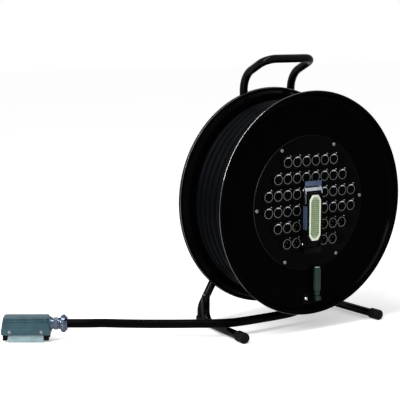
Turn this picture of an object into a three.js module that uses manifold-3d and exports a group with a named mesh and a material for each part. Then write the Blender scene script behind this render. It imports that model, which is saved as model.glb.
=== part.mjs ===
// A multicore cable drum for stage and broadcast sound: a drum on a bent tube frame, with a panel of
// chassis sockets and a multipin outlet in its front flange, and a multipin cable hood on the free end.
// Millimetres. X runs across the drum, Y from the operator's side to the back, Z up.
// The pieces are placed about the axle, with y = 0 at the front rim, and then set on the floor.

import * as THREE from "three";
import { mergeVertices } from "three/addons/utils/BufferGeometryUtils.js";
import Module from "manifold-3d";

const wasm = await Module();
wasm.setup();

// Overall and fits
const drumClearance = 39;
const fitGap = 0.3;
const overrun = 2;

// Drum flanges and core
const drumRadius = 255;
const drumWidth = 170;
const beadRadius = 4.5;
const flangeSheet = 2;
const flangeDish = 20.3;
const flangeWall = 15;
const panelOpening = 139;
const coreRadius = 155;
const coreWall = 2;

// Cable
const cableRadius = 10;
const turnPitch = 20.6;
const layerRise = 17.3;
const tailTurnIndex = 1;
const tailLeaveAngle = 38;
const tailHeldAngle = 75;
const tailSteps = 48;
const grooveClearance = 0.7;
const ridgeAngle = 55;

// Connection panel
const panelRadius = 154;
const panelThickness = 3;
const panelScrewCircle = 146.5;
const panelScrewHead = 4.2;
const panelScrewHeadHeight = 2.2;
const panelScrewShank = 1.8;
const screwStartAngle = 2.5;

// Chassis sockets
const socketWidth = 26;
const socketHeight = 31;
const socketFlange = 2;
const socketCorner = 3;
const socketRowPitch = 36.9;
const socketGridRaise = 4.5;
const ringRadius = 11.2;
const ringHeight = 3;
const shellBore = 9.6;
const insertRadius = 8.2;
const plugGapDepth = 8;
const socketBodyDepth = 18;
const cutoutRadius = 13.2;
const tabWidth = 9;
const tabRise = 1.4;
const tabReach = 3.4;
const cupDepth = 13;
const contactPinRadius = 1.2;
const contactPinLength = 8;
const contactCircle = 5;

// Multipin outlet
const insertWidth = 34;
const insertLength = 104;
const insertSideMargin = 1.3;
const insertEndMargin = 1.8;
const portTopClearance = 8.35;
const portDepth = 20;
const portWall = 3.2;
const portCorner = 6;
const portSideFlange = 3.5;
const portEndFlange = 10;
const portBaseThickness = 3;
const gasketThickness = 1.2;
const portInsertRear = 16;
const portInsertProud = 1.5;
const portInsertLip = 2.4;
const pivotInset = 21;
const pivotPegRadius = 2.4;
const leverSheet = 1.8;
const leverArmWidth = 9;
const leverEndClearance = 3;
const leverPlateLength = 24;
const leverTipBend = 5;
const leverSeat = 12;

// Crank
const crankOffset = 18.5;
const crankInset = 18;
const crankStandoff = 12.3;
const crankBase = 2.5;
const crankBaseWidth = 46;
const crankBaseHeight = 26;
const crankEar = 2.5;
const crankEarWidth = 13;
const crankEyeRadius = 6.2;
const crankEyeWidth = 15;
const crankPinRadius = 2.5;
const crankRodRadius = 3.6;
const gripRadius = 8.4;
const gripStart = 17.5;
const gripOverlap = 2.5;
const crankCapRadius = 6.4;
const crankCapHeight = 3.2;
const crankRivetRadius = 4.6;
const crankRivetHeight = 3;
const crankRivetOffset = 23;

// Hub, axle and bushes
const hubFront = 78;
const hubSleeveRadius = 26;
const hubBore = 18;
const hubFlangeRadius = 55;
const hubFlange = 4;
const bushLength = 22;
const bushFlangeRadius = 24;
const bushFlange = 3;
const axleRadius = 10;
const axleEndRadius = 6;
const axleThreadRadius = 8;
const axleCollarRadius = 17;
const washerRadius = 19;
const washerThickness = 3;
const nutAcrossFlats = 24;
const nutHeight = 12;
const endNutAcrossFlats = 19;
const endNutHeight = 9;
const threadStand = 4;

// Frame
const tubeRadius = 9.5;
const tubeClearance = 2;
const uprightSpread = 68;
const handleForward = 88;
const handleRise = 68;
const handleLean = 25;
const handleCorner = 28;
const handleBend = 52;
const frameBend = 38;
const legInset = 70;
const legSplay = 30.2;
const kneeHeight = 44;
const footToeOut = 9;
const footFront = -12;
const footUpright = 76;
const footBend = 26;
const capRadius = 12.3;
const capFloor = 4;
const frontCapLength = 30;
const rearCapLength = 22;
const capRound = 3;

// Axle plate and brake
const plateThickness = 4;
const plateMargin = 4;
const plateTop = 52;
const plateBottom = 128;
const plateCorner = 10;
const plateLip = 12;
const brakeDrop = 102;
const brakeScrewRadius = 6;
const brakeBossRadius = 11;
const brakeBossLength = 14;
const brakePadRadius = 14;
const brakePadThickness = 6;
const brakeTravel = 1.75;
const knobRadius = 21;
const knobThickness = 16;
const knobLobes = 5;
const knobLobeDepth = 3;

// Free end: gland and cable hood
const hoodTurn = 147.5;
const glandHeight = 40;
const glandNutRadius = 20;
const glandNutLength = 15.5;
const glandNeckRadius = 14.5;
const glandNeckLength = 21.5;
const hoodLength = 109;
const hoodWidth = 43;
const hoodTopLength = 99;
const hoodTopWidth = 36;
const hoodHeight = 39;
const hoodRimHeight = 13;
const hoodWall = 3;
const hoodCorner = 6;
const hoodTopRound = 5;
const hoodEntryRadius = 16.5;
const hoodPegRadius = 3;
const hoodPegReach = 2.5;
const hoodPegSpacing = 70;
const skirtHeight = 18;
const skirtLength = 80;
const skirtWidth = 32;
const sealThickness = 4;
const lugLength = 11;
const lugHeight = 13;
const lugWidth = 9;
const lugRound = 3;

// Facets of round shapes
const roundSteps = 32;
const hubSteps = 18;
const smallSteps = 12;
const socketSteps = 8;
const cutoutSteps = 6;
const tubeSides = 10;
const bendSteps = 4;

// Which columns of the socket grid hold sockets: for each row, from the top, its runs side by side.
const socketRuns = [
  [[2, 7]],
  [[1, 8]],
  [[0, 3], [6, 9]],
  [[0, 3], [6, 9]],
  [[1, 3], [6, 8]],
  [[2, 3], [6, 7]],
];
const maleSockets = new Set(["4:3", "4:6", "4:7", "4:8", "5:2", "5:3", "5:6", "5:7"]);
const rowCount = socketRuns.length;
const columnCount = Math.max(...socketRuns.flat(2)) + 1;

// Worked out from the sizes above
const axleHeight = drumRadius + drumClearance;
const dishRadius = drumRadius - flangeWall;
const flangeFace = flangeDish;
const flangeInside = flangeDish + flangeSheet;
const rearFace = drumWidth - flangeDish;
const rearInside = rearFace - flangeSheet;
const floorLevel = -axleHeight;
const firstTurnRadius = coreRadius + fitGap + cableRadius;
const layersAbove = Math.floor((dishRadius - cableRadius - firstTurnRadius) / layerRise);
const outerTurnRadius = firstTurnRadius + layersAbove * layerRise;
const windingWidth = rearInside - flangeInside - fitGap * 2;
const turnCount = Math.floor(windingWidth / turnPitch);
const windingMiddle = (flangeInside + rearInside) / 2;
const turnDepth = (turn) => windingMiddle + (turn - (turnCount - 1) / 2) * turnPitch;
const panelBack = flangeFace - fitGap;
const panelFront = panelBack - panelThickness;
const socketBack = panelFront - fitGap;
const tubeDepth = drumWidth + tubeClearance + tubeRadius;
const handleHeight = drumRadius + handleRise;
const legSpread = drumRadius - legInset;
const footFrontSpread = legSpread + footToeOut;
const footRear = tubeDepth - tubeRadius * 2 - fitGap;
const footHeading = Math.atan2(footFrontSpread - legSpread, footRear - footFront);
const frontStation = footFront - (capRadius - capRound) * Math.sin(footHeading);
const plateFront = tubeDepth - tubeRadius - fitGap - plateThickness;
const plateBack = plateFront + plateThickness;
const knobFront = plateBack + brakeBossLength + brakeTravel + fitGap * 2;
const rearStation = knobFront + knobThickness;

const finish = (color, roughness, metalness) =>
  new THREE.MeshStandardMaterial({ color, roughness, metalness });
const blackPaint = finish(0x0b0c0e, 0.3, 0.1);
const blackRubber = finish(0x101010, 0.85, 0);
const cableJacket = finish(0x15161b, 0.55, 0);
const zincSteel = finish(0xb9bcc0, 0.35, 0.9);
const chrome = finish(0xdfe4ea, 0.12, 1);
const socketBlack = finish(0x17181a, 0.45, 0.3);
const insertWhite = finish(0xd9ddd2, 0.5, 0);
const gripGreen = finish(0x4d6456, 0.35, 0);
const hoodGrey = finish(0x566a73, 0.5, 0.4);

// Solids

/** Turns a closed three.js geometry into a solid that can be joined and cut. */
function solid(geometry) {
  const bare = geometry.index ? geometry.toNonIndexed() : geometry.clone();
  for (const name of Object.keys(bare.attributes)) {
    if (name !== "position") bare.deleteAttribute(name);
  }
  const merged = mergeVertices(bare, 1e-4);
  const corners = merged.index.array;
  const kept = [];
  for (let i = 0; i < corners.length; i += 3) {
    const [a, b, c] = [corners[i], corners[i + 1], corners[i + 2]];
    if (a !== b && b !== c && c !== a) kept.push(a, b, c);
  }
  const mesh = new wasm.Mesh({
    numProp: 3,
    vertProperties: new Float32Array(merged.attributes.position.array),
    triVerts: new Uint32Array(kept),
  });
  return new wasm.Manifold(mesh);
}

/** Turns a solid back into a three.js geometry. */
function geometryOf(body) {
  const mesh = body.getMesh();
  const geometry = new THREE.BufferGeometry();
  geometry.setAttribute("position", new THREE.BufferAttribute(new Float32Array(mesh.vertProperties), 3));
  geometry.setIndex(new THREE.BufferAttribute(new Uint32Array(mesh.triVerts), 1));
  geometry.computeVertexNormals();
  return geometry;
}

/** Joins and cuts: the base with every added geometry, less every cut one. */
function carve(base, added, cuts = []) {
  let body = solid(base);
  for (const piece of added) body = body.add(solid(piece));
  for (const piece of cuts) body = body.subtract(solid(piece));
  return geometryOf(body);
}

/** Revolves a closed outline of [radius, y] points about the Y axis. */
function revolve(outline, steps = roundSteps) {
  const points = outline.map(([radius, y]) => new THREE.Vector2(radius, y));
  if (THREE.ShapeUtils.area(points) < 0) points.reverse();
  const onAxis = points.filter((point) => point.x === 0);
  if (onAxis.length === 0) points.push(points[0].clone());
  while (onAxis.length > 0 && !(points[0].x === 0 && points[points.length - 1].x === 0)) {
    points.push(points.shift());
  }
  return new THREE.LatheGeometry(points, steps);
}

/** A disc or, with a bore, a ring about the Y axis, from one y to another. */
function disc(radius, from, to, bore = 0, steps = smallSteps) {
  return revolve([[bore, from], [radius, from], [radius, to], [bore, to]], steps);
}

/** A disc about the Z axis, from one height to another. */
function post(radius, from, to, bore = 0, steps = smallSteps) {
  return disc(radius, from, to, bore, steps).rotateX(Math.PI / 2);
}

/** A rounded rectangle, centred, in the drawing plane. */
function roundedRectangle(width, height, corner) {
  const [x, y] = [width / 2, height / 2];
  const shape = new THREE.Shape();
  shape.moveTo(corner - x, -y);
  shape.lineTo(x - corner, -y);
  shape.absarc(x - corner, corner - y, corner, -Math.PI / 2, 0);
  shape.lineTo(x, y - corner);
  shape.absarc(x - corner, y - corner, corner, 0, Math.PI / 2);
  shape.lineTo(corner - x, y);
  shape.absarc(corner - x, y - corner, corner, Math.PI / 2, Math.PI);
  shape.lineTo(-x, corner - y);
  shape.absarc(corner - x, corner - y, corner, Math.PI, Math.PI * 1.5);
  return shape;
}

/** Extrudes a shape drawn in X and Z from one y to another. */
function slab(shape, from, to, curveSegments = 3) {
  const geometry = new THREE.ExtrudeGeometry(shape, { depth: to - from, bevelEnabled: false, curveSegments });
  return geometry.rotateX(Math.PI / 2).translate(0, to, 0);
}

/** A plain block between two corners. */
function block([x0, y0, z0], [x1, y1, z1]) {
  const geometry = new THREE.BoxGeometry(x1 - x0, y1 - y0, z1 - z0);
  return geometry.translate((x0 + x1) / 2, (y0 + y1) / 2, (z0 + z1) / 2);
}

/** A hexagon prism about the Y axis, for a nut. */
function hexagon(acrossFlats, from, to, bore) {
  const shape = new THREE.Shape();
  const corner = acrossFlats / Math.sqrt(3);
  for (let i = 0; i < 6; i += 1) {
    const angle = (i * Math.PI) / 3;
    shape[i === 0 ? "moveTo" : "lineTo"](corner * Math.cos(angle), corner * Math.sin(angle));
  }
  const hole = new THREE.Path();
  hole.absarc(0, 0, bore, 0, Math.PI * 2);
  shape.holes.push(hole);
  return slab(shape, from, to, smallSteps);
}

/** A path of straight runs and round bends, with its own stations along the bends. */
class BentPath extends THREE.Curve {
  constructor(corners, bends) {
    super();
    this.stations = [];
    const place = (point, tangent) => this.stations.push({ point, tangent });
    for (let i = 0; i < corners.length; i += 1) {
      const before = i > 0 ? corners[i].clone().sub(corners[i - 1]).normalize() : null;
      const after = i < corners.length - 1 ? corners[i + 1].clone().sub(corners[i]).normalize() : null;
      if (!before || !after) {
        place(corners[i].clone(), (before || after).clone());
        continue;
      }
      const turn = before.angleTo(after);
      const reach = bends[i - 1] * Math.tan(turn / 2);
      const side = after.clone().addScaledVector(before, -Math.cos(turn)).normalize();
      const start = corners[i].clone().addScaledVector(before, -reach);
      for (let step = 0; step <= bendSteps; step += 1) {
        const angle = (turn * step) / bendSteps;
        const point = start.clone().addScaledVector(before, bends[i - 1] * Math.sin(angle));
        point.addScaledVector(side, bends[i - 1] * (1 - Math.cos(angle)));
        const tangent = before.clone().multiplyScalar(Math.cos(angle)).addScaledVector(side, Math.sin(angle));
        place(point, tangent.normalize());
      }
    }
  }

  at(u) {
    return this.stations[Math.round(u * (this.stations.length - 1))];
  }

  getPoint(t) {
    return this.at(t).point.clone();
  }

  getPointAt(u) {
    return this.at(u).point.clone();
  }

  getTangentAt(u) {
    return this.at(u).tangent.clone();
  }
}

/** A round bar or tube along a path. */
function tube(path, radius, steps = path.stations.length - 1, sides = tubeSides) {
  const section = new THREE.Shape();
  section.absarc(0, 0, radius, 0, Math.PI * 2);
  return new THREE.ExtrudeGeometry(section, { steps, extrudePath: path, curveSegments: sides / 2 });
}

const vector = (x, y, z) => new THREE.Vector3(x, y, z);
const radians = THREE.MathUtils.degToRad;

const group = new THREE.Group();
const model = new THREE.Group();
model.position.set(0, -(frontStation + rearStation) / 2, axleHeight);
group.add(model);

function add(name, geometry, material, parent = model) {
  const mesh = new THREE.Mesh(geometry, material);
  mesh.name = name;
  parent.add(mesh);
  return mesh;
}

// Frame

/** One bent tube: rear leg, upright, handle, upright and rear leg. */
function frameLoop() {
  const legFoot = floorLevel + capFloor + fitGap;
  const knee = floorLevel + kneeHeight;
  const hip = knee + (legSpread - uprightSpread) / Math.tan(radians(legSplay));
  const lean = handleHeight - handleForward * Math.tan(radians(handleLean));
  const half = [
    [legSpread, tubeDepth, legFoot],
    [legSpread, tubeDepth, knee],
    [uprightSpread, tubeDepth, hip],
    [uprightSpread, tubeDepth, lean],
    [uprightSpread, tubeDepth - handleForward, handleHeight],
  ];
  const left = half.map(([x, y, z]) => vector(-x, y, z));
  const right = half.map(([x, y, z]) => vector(x, y, z)).reverse();
  const halfBends = [frameBend, frameBend, handleBend, handleCorner];
  return tube(new BentPath([...left, ...right], [...halfBends, ...halfBends.toReversed()]), tubeRadius);
}

/** A foot tube along the floor, turned up in front of the rear leg. side is -1 or 1. */
function footTube(side) {
  const level = floorLevel + capRadius;
  const path = new BentPath(
    [
      vector(side * footFrontSpread, footFront + capFloor + fitGap, level),
      vector(side * legSpread, footRear, level),
      vector(side * legSpread, footRear, floorLevel + footUpright),
    ],
    [footBend],
  );
  return tube(path, tubeRadius);
}

/** A rubber cap, drawn about the Y axis with its closed end at y = 0. */
function rubberCap(length) {
  const bore = tubeRadius + fitGap * 2;
  return revolve(
    [
      [0, 0],
      [capRadius - capRound, 0],
      [capRadius, capRound],
      [capRadius, length],
      [bore, length],
      [bore, capFloor],
      [0, capFloor],
    ],
    smallSteps,
  );
}

/** The plate between the uprights that holds the axle and the brake, with lips folded to the back. */
function axlePlate() {
  const width = (uprightSpread + tubeRadius + plateMargin) * 2;
  const height = plateTop + plateBottom;
  const middle = (plateTop - plateBottom) / 2;
  const shape = roundedRectangle(width, height, plateCorner);
  const sheet = slab(shape, plateFront, plateBack).translate(0, 0, middle);
  const lipHalf = uprightSpread - tubeRadius - plateMargin;
  const lips = [plateTop - plateThickness, -plateBottom].map((low) =>
    block([-lipHalf, plateBack - overrun, low], [lipHalf, plateBack + plateLip, low + plateThickness]),
  );
  const cut = [plateFront - overrun, plateBack + overrun];
  const axleHole = disc(axleThreadRadius + fitGap, ...cut);
  const brakeHole = disc(brakeScrewRadius + fitGap, ...cut).translate(0, 0, -brakeDrop);
  return carve(sheet, lips, [axleHole, brakeHole]);
}

add("frame_loop", frameLoop(), blackPaint);
add("axle_plate", axlePlate(), blackPaint);
for (const [label, side] of [["left", -1], ["right", 1]]) {
  add(`${label}_foot_tube`, footTube(side), blackPaint);
  const front = add(`${label}_front_foot_cap`, rubberCap(frontCapLength), blackRubber);
  front.rotation.z = side * footHeading;
  front.position.set(side * footFrontSpread, footFront, floorLevel + capRadius);
  const rear = add(`${label}_rear_foot_cap`, rubberCap(rearCapLength), blackRubber);
  rear.rotation.x = Math.PI / 2;
  rear.position.set(side * legSpread, tubeDepth, floorLevel);
}

// Axle, bushes and hub

const hubRear = rearFace + fitGap + hubFlange;
const rearBushFlange = hubRear + fitGap;
const collarFront = rearBushFlange + bushFlange + fitGap;
const frontBushFlange = hubFront - fitGap - bushFlange;
const axleStep = frontBushFlange - fitGap;
const endWasherFront = axleStep - fitGap - washerThickness;
const endNutFront = endWasherFront - fitGap - endNutHeight;
const rearWasherFront = plateBack + fitGap;
const rearNutFront = rearWasherFront + washerThickness + fitGap;

/** The stub axle: a threaded front end, the bearing length, a collar and the threaded rear end. */
function axle() {
  return revolve(
    [
      [0, endNutFront - threadStand],
      [axleEndRadius, endNutFront - threadStand],
      [axleEndRadius, axleStep],
      [axleRadius, axleStep],
      [axleRadius, collarFront],
      [axleCollarRadius, collarFront],
      [axleCollarRadius, plateFront - fitGap],
      [axleThreadRadius, plateFront - fitGap],
      [axleThreadRadius, rearNutFront + nutHeight + threadStand],
      [0, rearNutFront + nutHeight + threadStand],
    ],
    smallSteps,
  );
}

/** The bearing hub: a flange on the rear of the drum and a sleeve that reaches into the core. */
function bearingHub() {
  return revolve(
    [
      [hubBore, hubFront],
      [hubSleeveRadius, hubFront],
      [hubSleeveRadius, rearFace + fitGap],
      [hubFlangeRadius, rearFace + fitGap],
      [hubFlangeRadius, hubRear],
      [hubBore, hubRear],
    ],
    hubSteps,
  );
}

/** A flanged plain bush, pressed into the hub from its flange's side. */
function bush(flangeFrom, inward) {
  const flangeTo = flangeFrom + bushFlange;
  const sleeveStart = inward > 0 ? flangeTo : flangeFrom;
  const sleeveEnd = sleeveStart + inward * bushLength;
  const bore = axleRadius + fitGap;
  const sleeve = hubBore - fitGap;
  const flangeEnd = inward > 0 ? flangeFrom : flangeTo;
  return revolve(
    [
      [bore, flangeEnd],
      [bushFlangeRadius, flangeEnd],
      [bushFlangeRadius, sleeveStart],
      [sleeve, sleeveStart],
      [sleeve, sleeveEnd],
      [bore, sleeveEnd],
    ],
    smallSteps,
  );
}

add("axle", axle(), zincSteel);
/** A washer and a nut on a threaded end, both named after that end. */
function addNut(name, washerFront, nutFront, acrossFlats, height, bore) {
  add(`${name}_washer`, disc(washerRadius, washerFront, washerFront + washerThickness, bore), zincSteel);
  add(`${name}_nut`, hexagon(acrossFlats, nutFront, nutFront + height, bore), zincSteel);
}

addNut("axle", rearWasherFront, rearNutFront, nutAcrossFlats, nutHeight, axleThreadRadius + fitGap);
addNut("end", endWasherFront, endNutFront, endNutAcrossFlats, endNutHeight, axleEndRadius + fitGap);
add("bearing_hub", bearingHub(), zincSteel);
add("front_bush", bush(frontBushFlange, 1), socketBlack);
add("rear_bush", bush(rearBushFlange, -1), socketBlack);

// Brake

/** A star knob about the Y axis with round lobes. */
function knobShape() {
  const points = [];
  const steps = knobLobes * 6;
  for (let i = 0; i < steps; i += 1) {
    const angle = (i * Math.PI * 2) / steps;
    const radius = knobRadius - (knobLobeDepth * (1 - Math.cos(angle * knobLobes))) / 2;
    points.push(new THREE.Vector2(radius * Math.cos(angle), radius * Math.sin(angle)));
  }
  return new THREE.Shape(points);
}

const brake = new THREE.Group();
brake.position.z = -brakeDrop;
model.add(brake);
const padFront = rearFace + fitGap + brakeTravel;
const padBack = padFront + brakePadThickness;
const bossBore = brakeScrewRadius + fitGap;
const bossSpan = [plateBack + fitGap, plateBack + brakeBossLength];
add("brake_boss", disc(brakeBossRadius, ...bossSpan, bossBore), zincSteel, brake);
add("brake_pad", disc(brakePadRadius, padFront, padBack), blackRubber, brake);
const screwEnd = knobFront + knobThickness / 2;
add("brake_screw", disc(brakeScrewRadius, padBack + fitGap, screwEnd - fitGap), zincSteel, brake);
const knob = slab(knobShape(), knobFront, knobFront + knobThickness);
const knobSocket = disc(bossBore, knobFront - overrun, screwEnd);
add("brake_knob", carve(knob, [], [knobSocket]), socketBlack, brake);

// Drum

/** A dished flange of sheet steel whose rim is rolled into a bead towards the outside. */
function flange(opening) {
  const edge = beadRadius * 2;
  const beadCentre = drumRadius - beadRadius;
  const meet = Math.asin((beadRadius - flangeSheet) / beadRadius);
  const outline = [
    [opening, flangeDish],
    [dishRadius, flangeDish],
  ];
  const beadSteps = 6;
  for (let i = 0; i <= beadSteps; i += 1) {
    const angle = Math.PI - meet + ((Math.PI * 1.5 + meet) * i) / beadSteps;
    outline.push([beadCentre + beadRadius * Math.cos(angle), beadRadius + beadRadius * Math.sin(angle)]);
  }
  outline.push([beadCentre - beadRadius / 2, edge]);
  outline.push([dishRadius + flangeSheet, flangeInside - flangeSheet / 2]);
  outline.push([dishRadius, flangeInside]);
  outline.push([opening, flangeInside]);
  return revolve(outline);
}

const lowerTurnRadius = outerTurnRadius - cableRadius - grooveClearance;

/** Neighbouring turns of the outer layer: a ring with a rounded ridge for each turn. */
function outerTurns(first, last) {
  const low = lowerTurnRadius + fitGap;
  const valley = outerTurnRadius + cableRadius * Math.cos(radians(ridgeAngle));
  const outline = [[low, turnDepth(first) - cableRadius], [valley, turnDepth(first) - cableRadius]];
  for (let turn = first; turn <= last; turn += 1) {
    for (const degrees of [-ridgeAngle, 0, ridgeAngle]) {
      const [out, aside] = [Math.cos(radians(degrees)), Math.sin(radians(degrees))];
      outline.push([outerTurnRadius + cableRadius * out, turnDepth(turn) + cableRadius * aside]);
    }
  }
  outline.push([valley, turnDepth(last) + cableRadius], [low, turnDepth(last) + cableRadius]);
  return revolve(outline);
}

add("front_flange", flange(panelOpening), blackPaint);
const rearFlange = add("rear_flange", flange(hubSleeveRadius + fitGap), blackPaint);
rearFlange.rotation.x = Math.PI;
rearFlange.position.y = drumWidth;
const drumSpan = [flangeInside + fitGap, rearInside - fitGap];
add("drum_core", disc(coreRadius, ...drumSpan, coreRadius - coreWall, roundSteps), blackPaint);
const lowerTurns = disc(lowerTurnRadius, ...drumSpan, coreRadius + fitGap, roundSteps);
add("cable_lower_layers", lowerTurns, cableJacket);
add("cable_front_turn", outerTurns(0, tailTurnIndex - 1), cableJacket);
add("cable_rear_turns", outerTurns(tailTurnIndex + 1, turnCount - 1), cableJacket);

// Connection panel and its sockets

const columnPlace = (column) => (column - (columnCount - 1) / 2) * socketWidth;
const rowPlace = (row) => socketGridRaise + ((rowCount - 1) / 2 - row) * socketRowPitch;

const portWidth = insertWidth + (insertSideMargin + portWall) * 2;
const portLength = insertLength + (insertEndMargin + portWall) * 2;
const portBaseWidth = portWidth + portSideFlange * 2;
const portBaseLength = portLength + portEndFlange * 2;
const portDrop = portBaseLength / 2 + portTopClearance + socketHeight / 2 - rowPlace(1);
const ringFront = socketBack - socketFlange - ringHeight;

/** A female socket: an insert stands in the shell, with the gap for the plug's sleeve round it. */
function femaleSocket() {
  const shell = revolve(
    [
      [0, ringFront + fitGap],
      [insertRadius, ringFront + fitGap],
      [insertRadius, ringFront + plugGapDepth],
      [shellBore, ringFront + plugGapDepth],
      [shellBore, ringFront],
      [ringRadius, ringFront],
      [ringRadius, socketBack + socketBodyDepth],
      [0, socketBack + socketBodyDepth],
    ],
    socketSteps,
  );
  const low = (shellBore + ringRadius) / 2;
  const tab = block(
    [-tabWidth / 2, ringFront - tabRise, low],
    [tabWidth / 2, socketBack - socketFlange / 2, ringRadius + tabReach],
  );
  return solid(shell).add(solid(tab));
}

/** A male socket: an open cup with three contact pins. */
function maleSocket() {
  const floor = ringFront + cupDepth;
  const shell = revolve(
    [
      [0, floor],
      [shellBore, floor],
      [shellBore, ringFront],
      [ringRadius, ringFront],
      [ringRadius, socketBack + socketBodyDepth],
      [0, socketBack + socketBodyDepth],
    ],
    socketSteps,
  );
  let body = solid(shell);
  for (let i = 0; i < 3; i += 1) {
    const angle = Math.PI / 2 + (i * Math.PI * 2) / 3;
    const pin = disc(contactPinRadius, floor - contactPinLength, floor + overrun, 0, 5);
    pin.translate(contactCircle * Math.cos(angle), 0, contactCircle * Math.sin(angle));
    body = body.add(solid(pin));
  }
  return body;
}

/** The plate with a cutout for each socket, for the multipin outlet and for its screws. */
function connectionPanel() {
  const through = [panelFront - overrun, panelBack + overrun];
  let plate = solid(disc(panelRadius, panelFront, panelBack, 0, roundSteps));
  const cutout = solid(disc(cutoutRadius, ...through, 0, cutoutSteps));
  for (const [row, runs] of socketRuns.entries()) {
    for (const [first, last] of runs) {
      for (let column = first; column <= last; column += 1) {
        plate = plate.subtract(cutout.translate([columnPlace(column), 0, rowPlace(row)]));
      }
    }
  }
  const portCut = slab(portWindow(), ...through, 1);
  plate = plate.subtract(solid(portCut).translate([0, 0, -portDrop]));
  const screwHole = solid(disc(panelScrewShank + fitGap, ...through, 0, socketSteps));
  for (const [x, z] of screwPlaces()) plate = plate.subtract(screwHole.translate([x, 0, z]));
  return geometryOf(plate);
}

/** The opening for the contact insert, in the panel, the gasket and the housing's base. */
function portWindow() {
  return roundedRectangle(insertWidth + fitGap * 2, insertLength + fitGap * 2, portCorner / 4);
}

/** The centres of the six panel screws, as [x, z]. */
function screwPlaces() {
  return Array.from({ length: 6 }, (_, i) => {
    const angle = radians(screwStartAngle + i * 60);
    return [panelScrewCircle * Math.cos(angle), panelScrewCircle * Math.sin(angle)];
  });
}

/** A pan head screw with its shank through the panel and the flange. */
function panelScrew() {
  const seat = panelFront - fitGap;
  return revolve(
    [
      [0, seat - panelScrewHeadHeight],
      [panelScrewHead / 2, seat - panelScrewHeadHeight],
      [panelScrewHead, seat - panelScrewHeadHeight / 2],
      [panelScrewHead, seat],
      [panelScrewShank, seat],
      [panelScrewShank, panelBack - fitGap],
      [0, panelBack - fitGap],
    ],
    socketSteps,
  );
}

add("connection_panel", connectionPanel(), blackPaint);
for (const [i, [x, z]] of screwPlaces().entries()) {
  add(`panel_screw_${i + 1}`, panelScrew(), zincSteel).position.set(x, 0, z);
}

/** A run of sockets side by side: their flanges make one strip. */
function socketBank(row, first, last) {
  const flanges = slab(
    roundedRectangle((last - first + 1) * socketWidth - fitGap, socketHeight, socketCorner),
    socketBack - socketFlange,
    socketBack,
    1,
  );
  flanges.translate((columnPlace(first) + columnPlace(last)) / 2, 0, rowPlace(row));
  const middle = (shellBore + ringRadius) / 2;
  const hole = solid(disc(middle, socketBack - socketFlange - overrun, socketBack + overrun, 0, socketSteps));
  let bank = solid(flanges);
  for (let column = first; column <= last; column += 1) {
    const place = [columnPlace(column), 0, rowPlace(row)];
    const socket = maleSockets.has(`${row}:${column}`) ? male : female;
    bank = bank.subtract(hole.translate(place)).add(socket.translate(place));
  }
  return geometryOf(bank);
}

const female = femaleSocket();
const male = maleSocket();
for (const [row, runs] of socketRuns.entries()) {
  for (const [index, [first, last]] of runs.entries()) {
    const side = runs.length === 1 ? "" : ["left_", "right_"][index];
    add(`${side}socket_row_${row + 1}`, socketBank(row, first, last), socketBlack);
  }
}

// Multipin outlet

const port = new THREE.Group();
port.position.z = -portDrop;
model.add(port);
const gasketFront = socketBack - gasketThickness;
const baseBack = gasketFront - fitGap;
const baseFront = baseBack - portBaseThickness;
const portFront = baseBack - portDepth;
const portInner = [portWidth - portWall * 2, portLength - portWall * 2];
const pivotSpacing = portLength - pivotInset * 2;
const leverPlateStart = pivotInset + leverEndClearance;
const leverReach = leverPlateStart + leverPlateLength;
const pegDepth = portFront + (baseFront - portFront) / 2;

/** Extrudes a shape drawn in Y and Z along X, from one x to another. */
function sideSlab(shape, from, to, curveSegments = 4) {
  const geometry = new THREE.ExtrudeGeometry(shape, { depth: to - from, bevelEnabled: false, curveSegments });
  const turned = new THREE.Matrix4().makeBasis(vector(0, 1, 0), vector(0, 0, 1), vector(1, 0, 0));
  return geometry.applyMatrix4(turned).translate(from, 0, 0);
}

/** A round bar along X. */
function crossBar(radius, from, to, bore = 0, steps = smallSteps) {
  return disc(radius, -to, -from, bore, steps).rotateZ(Math.PI / 2);
}

/** The cast housing: a flanged base, four walls and the pegs that carry the levers. */
function portHousing() {
  const base = slab(roundedRectangle(portBaseWidth, portBaseLength, portCorner), baseFront, baseBack, 2);
  const wallSpan = [portFront, baseFront + overrun / 2];
  const walls = slab(roundedRectangle(portWidth, portLength, portCorner), ...wallSpan, 2);
  const inside = slab(roundedRectangle(...portInner, portCorner / 2), portFront - overrun, baseFront, 1);
  const pegReach = portWidth / 2 + fitGap + leverSheet + pivotPegRadius / 2;
  const pegs = [];
  for (const side of [-1, 1]) {
    for (const end of [-1, 1]) {
      const ends = [side * (portWidth / 2 - portWall / 2), side * pegReach].sort((a, b) => a - b);
      const peg = crossBar(pivotPegRadius, ...ends, 0, socketSteps);
      pegs.push(peg.translate(0, pegDepth, (end * pivotSpacing) / 2));
    }
  }
  const window = slab(portWindow(), baseFront - overrun, baseBack + overrun, 1);
  let body = solid(base).add(solid(walls)).subtract(solid(inside)).subtract(solid(window));
  for (const peg of pegs) body = body.add(solid(peg));
  return geometryOf(body);
}

/** The contact insert: a long block through the base, with a lip that rests on the base. */
function portInsert() {
  const shape = roundedRectangle(insertWidth, insertLength, portCorner / 4);
  const core = slab(shape, portFront - portInsertProud, panelBack + portInsertRear, 1);
  const lip = roundedRectangle(portInner[0] - fitGap * 2, portInner[1] - fitGap * 2, portCorner / 2);
  return carve(core, [slab(lip, baseFront - fitGap - portInsertLip, baseFront - fitGap, 1)]);
}

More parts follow.
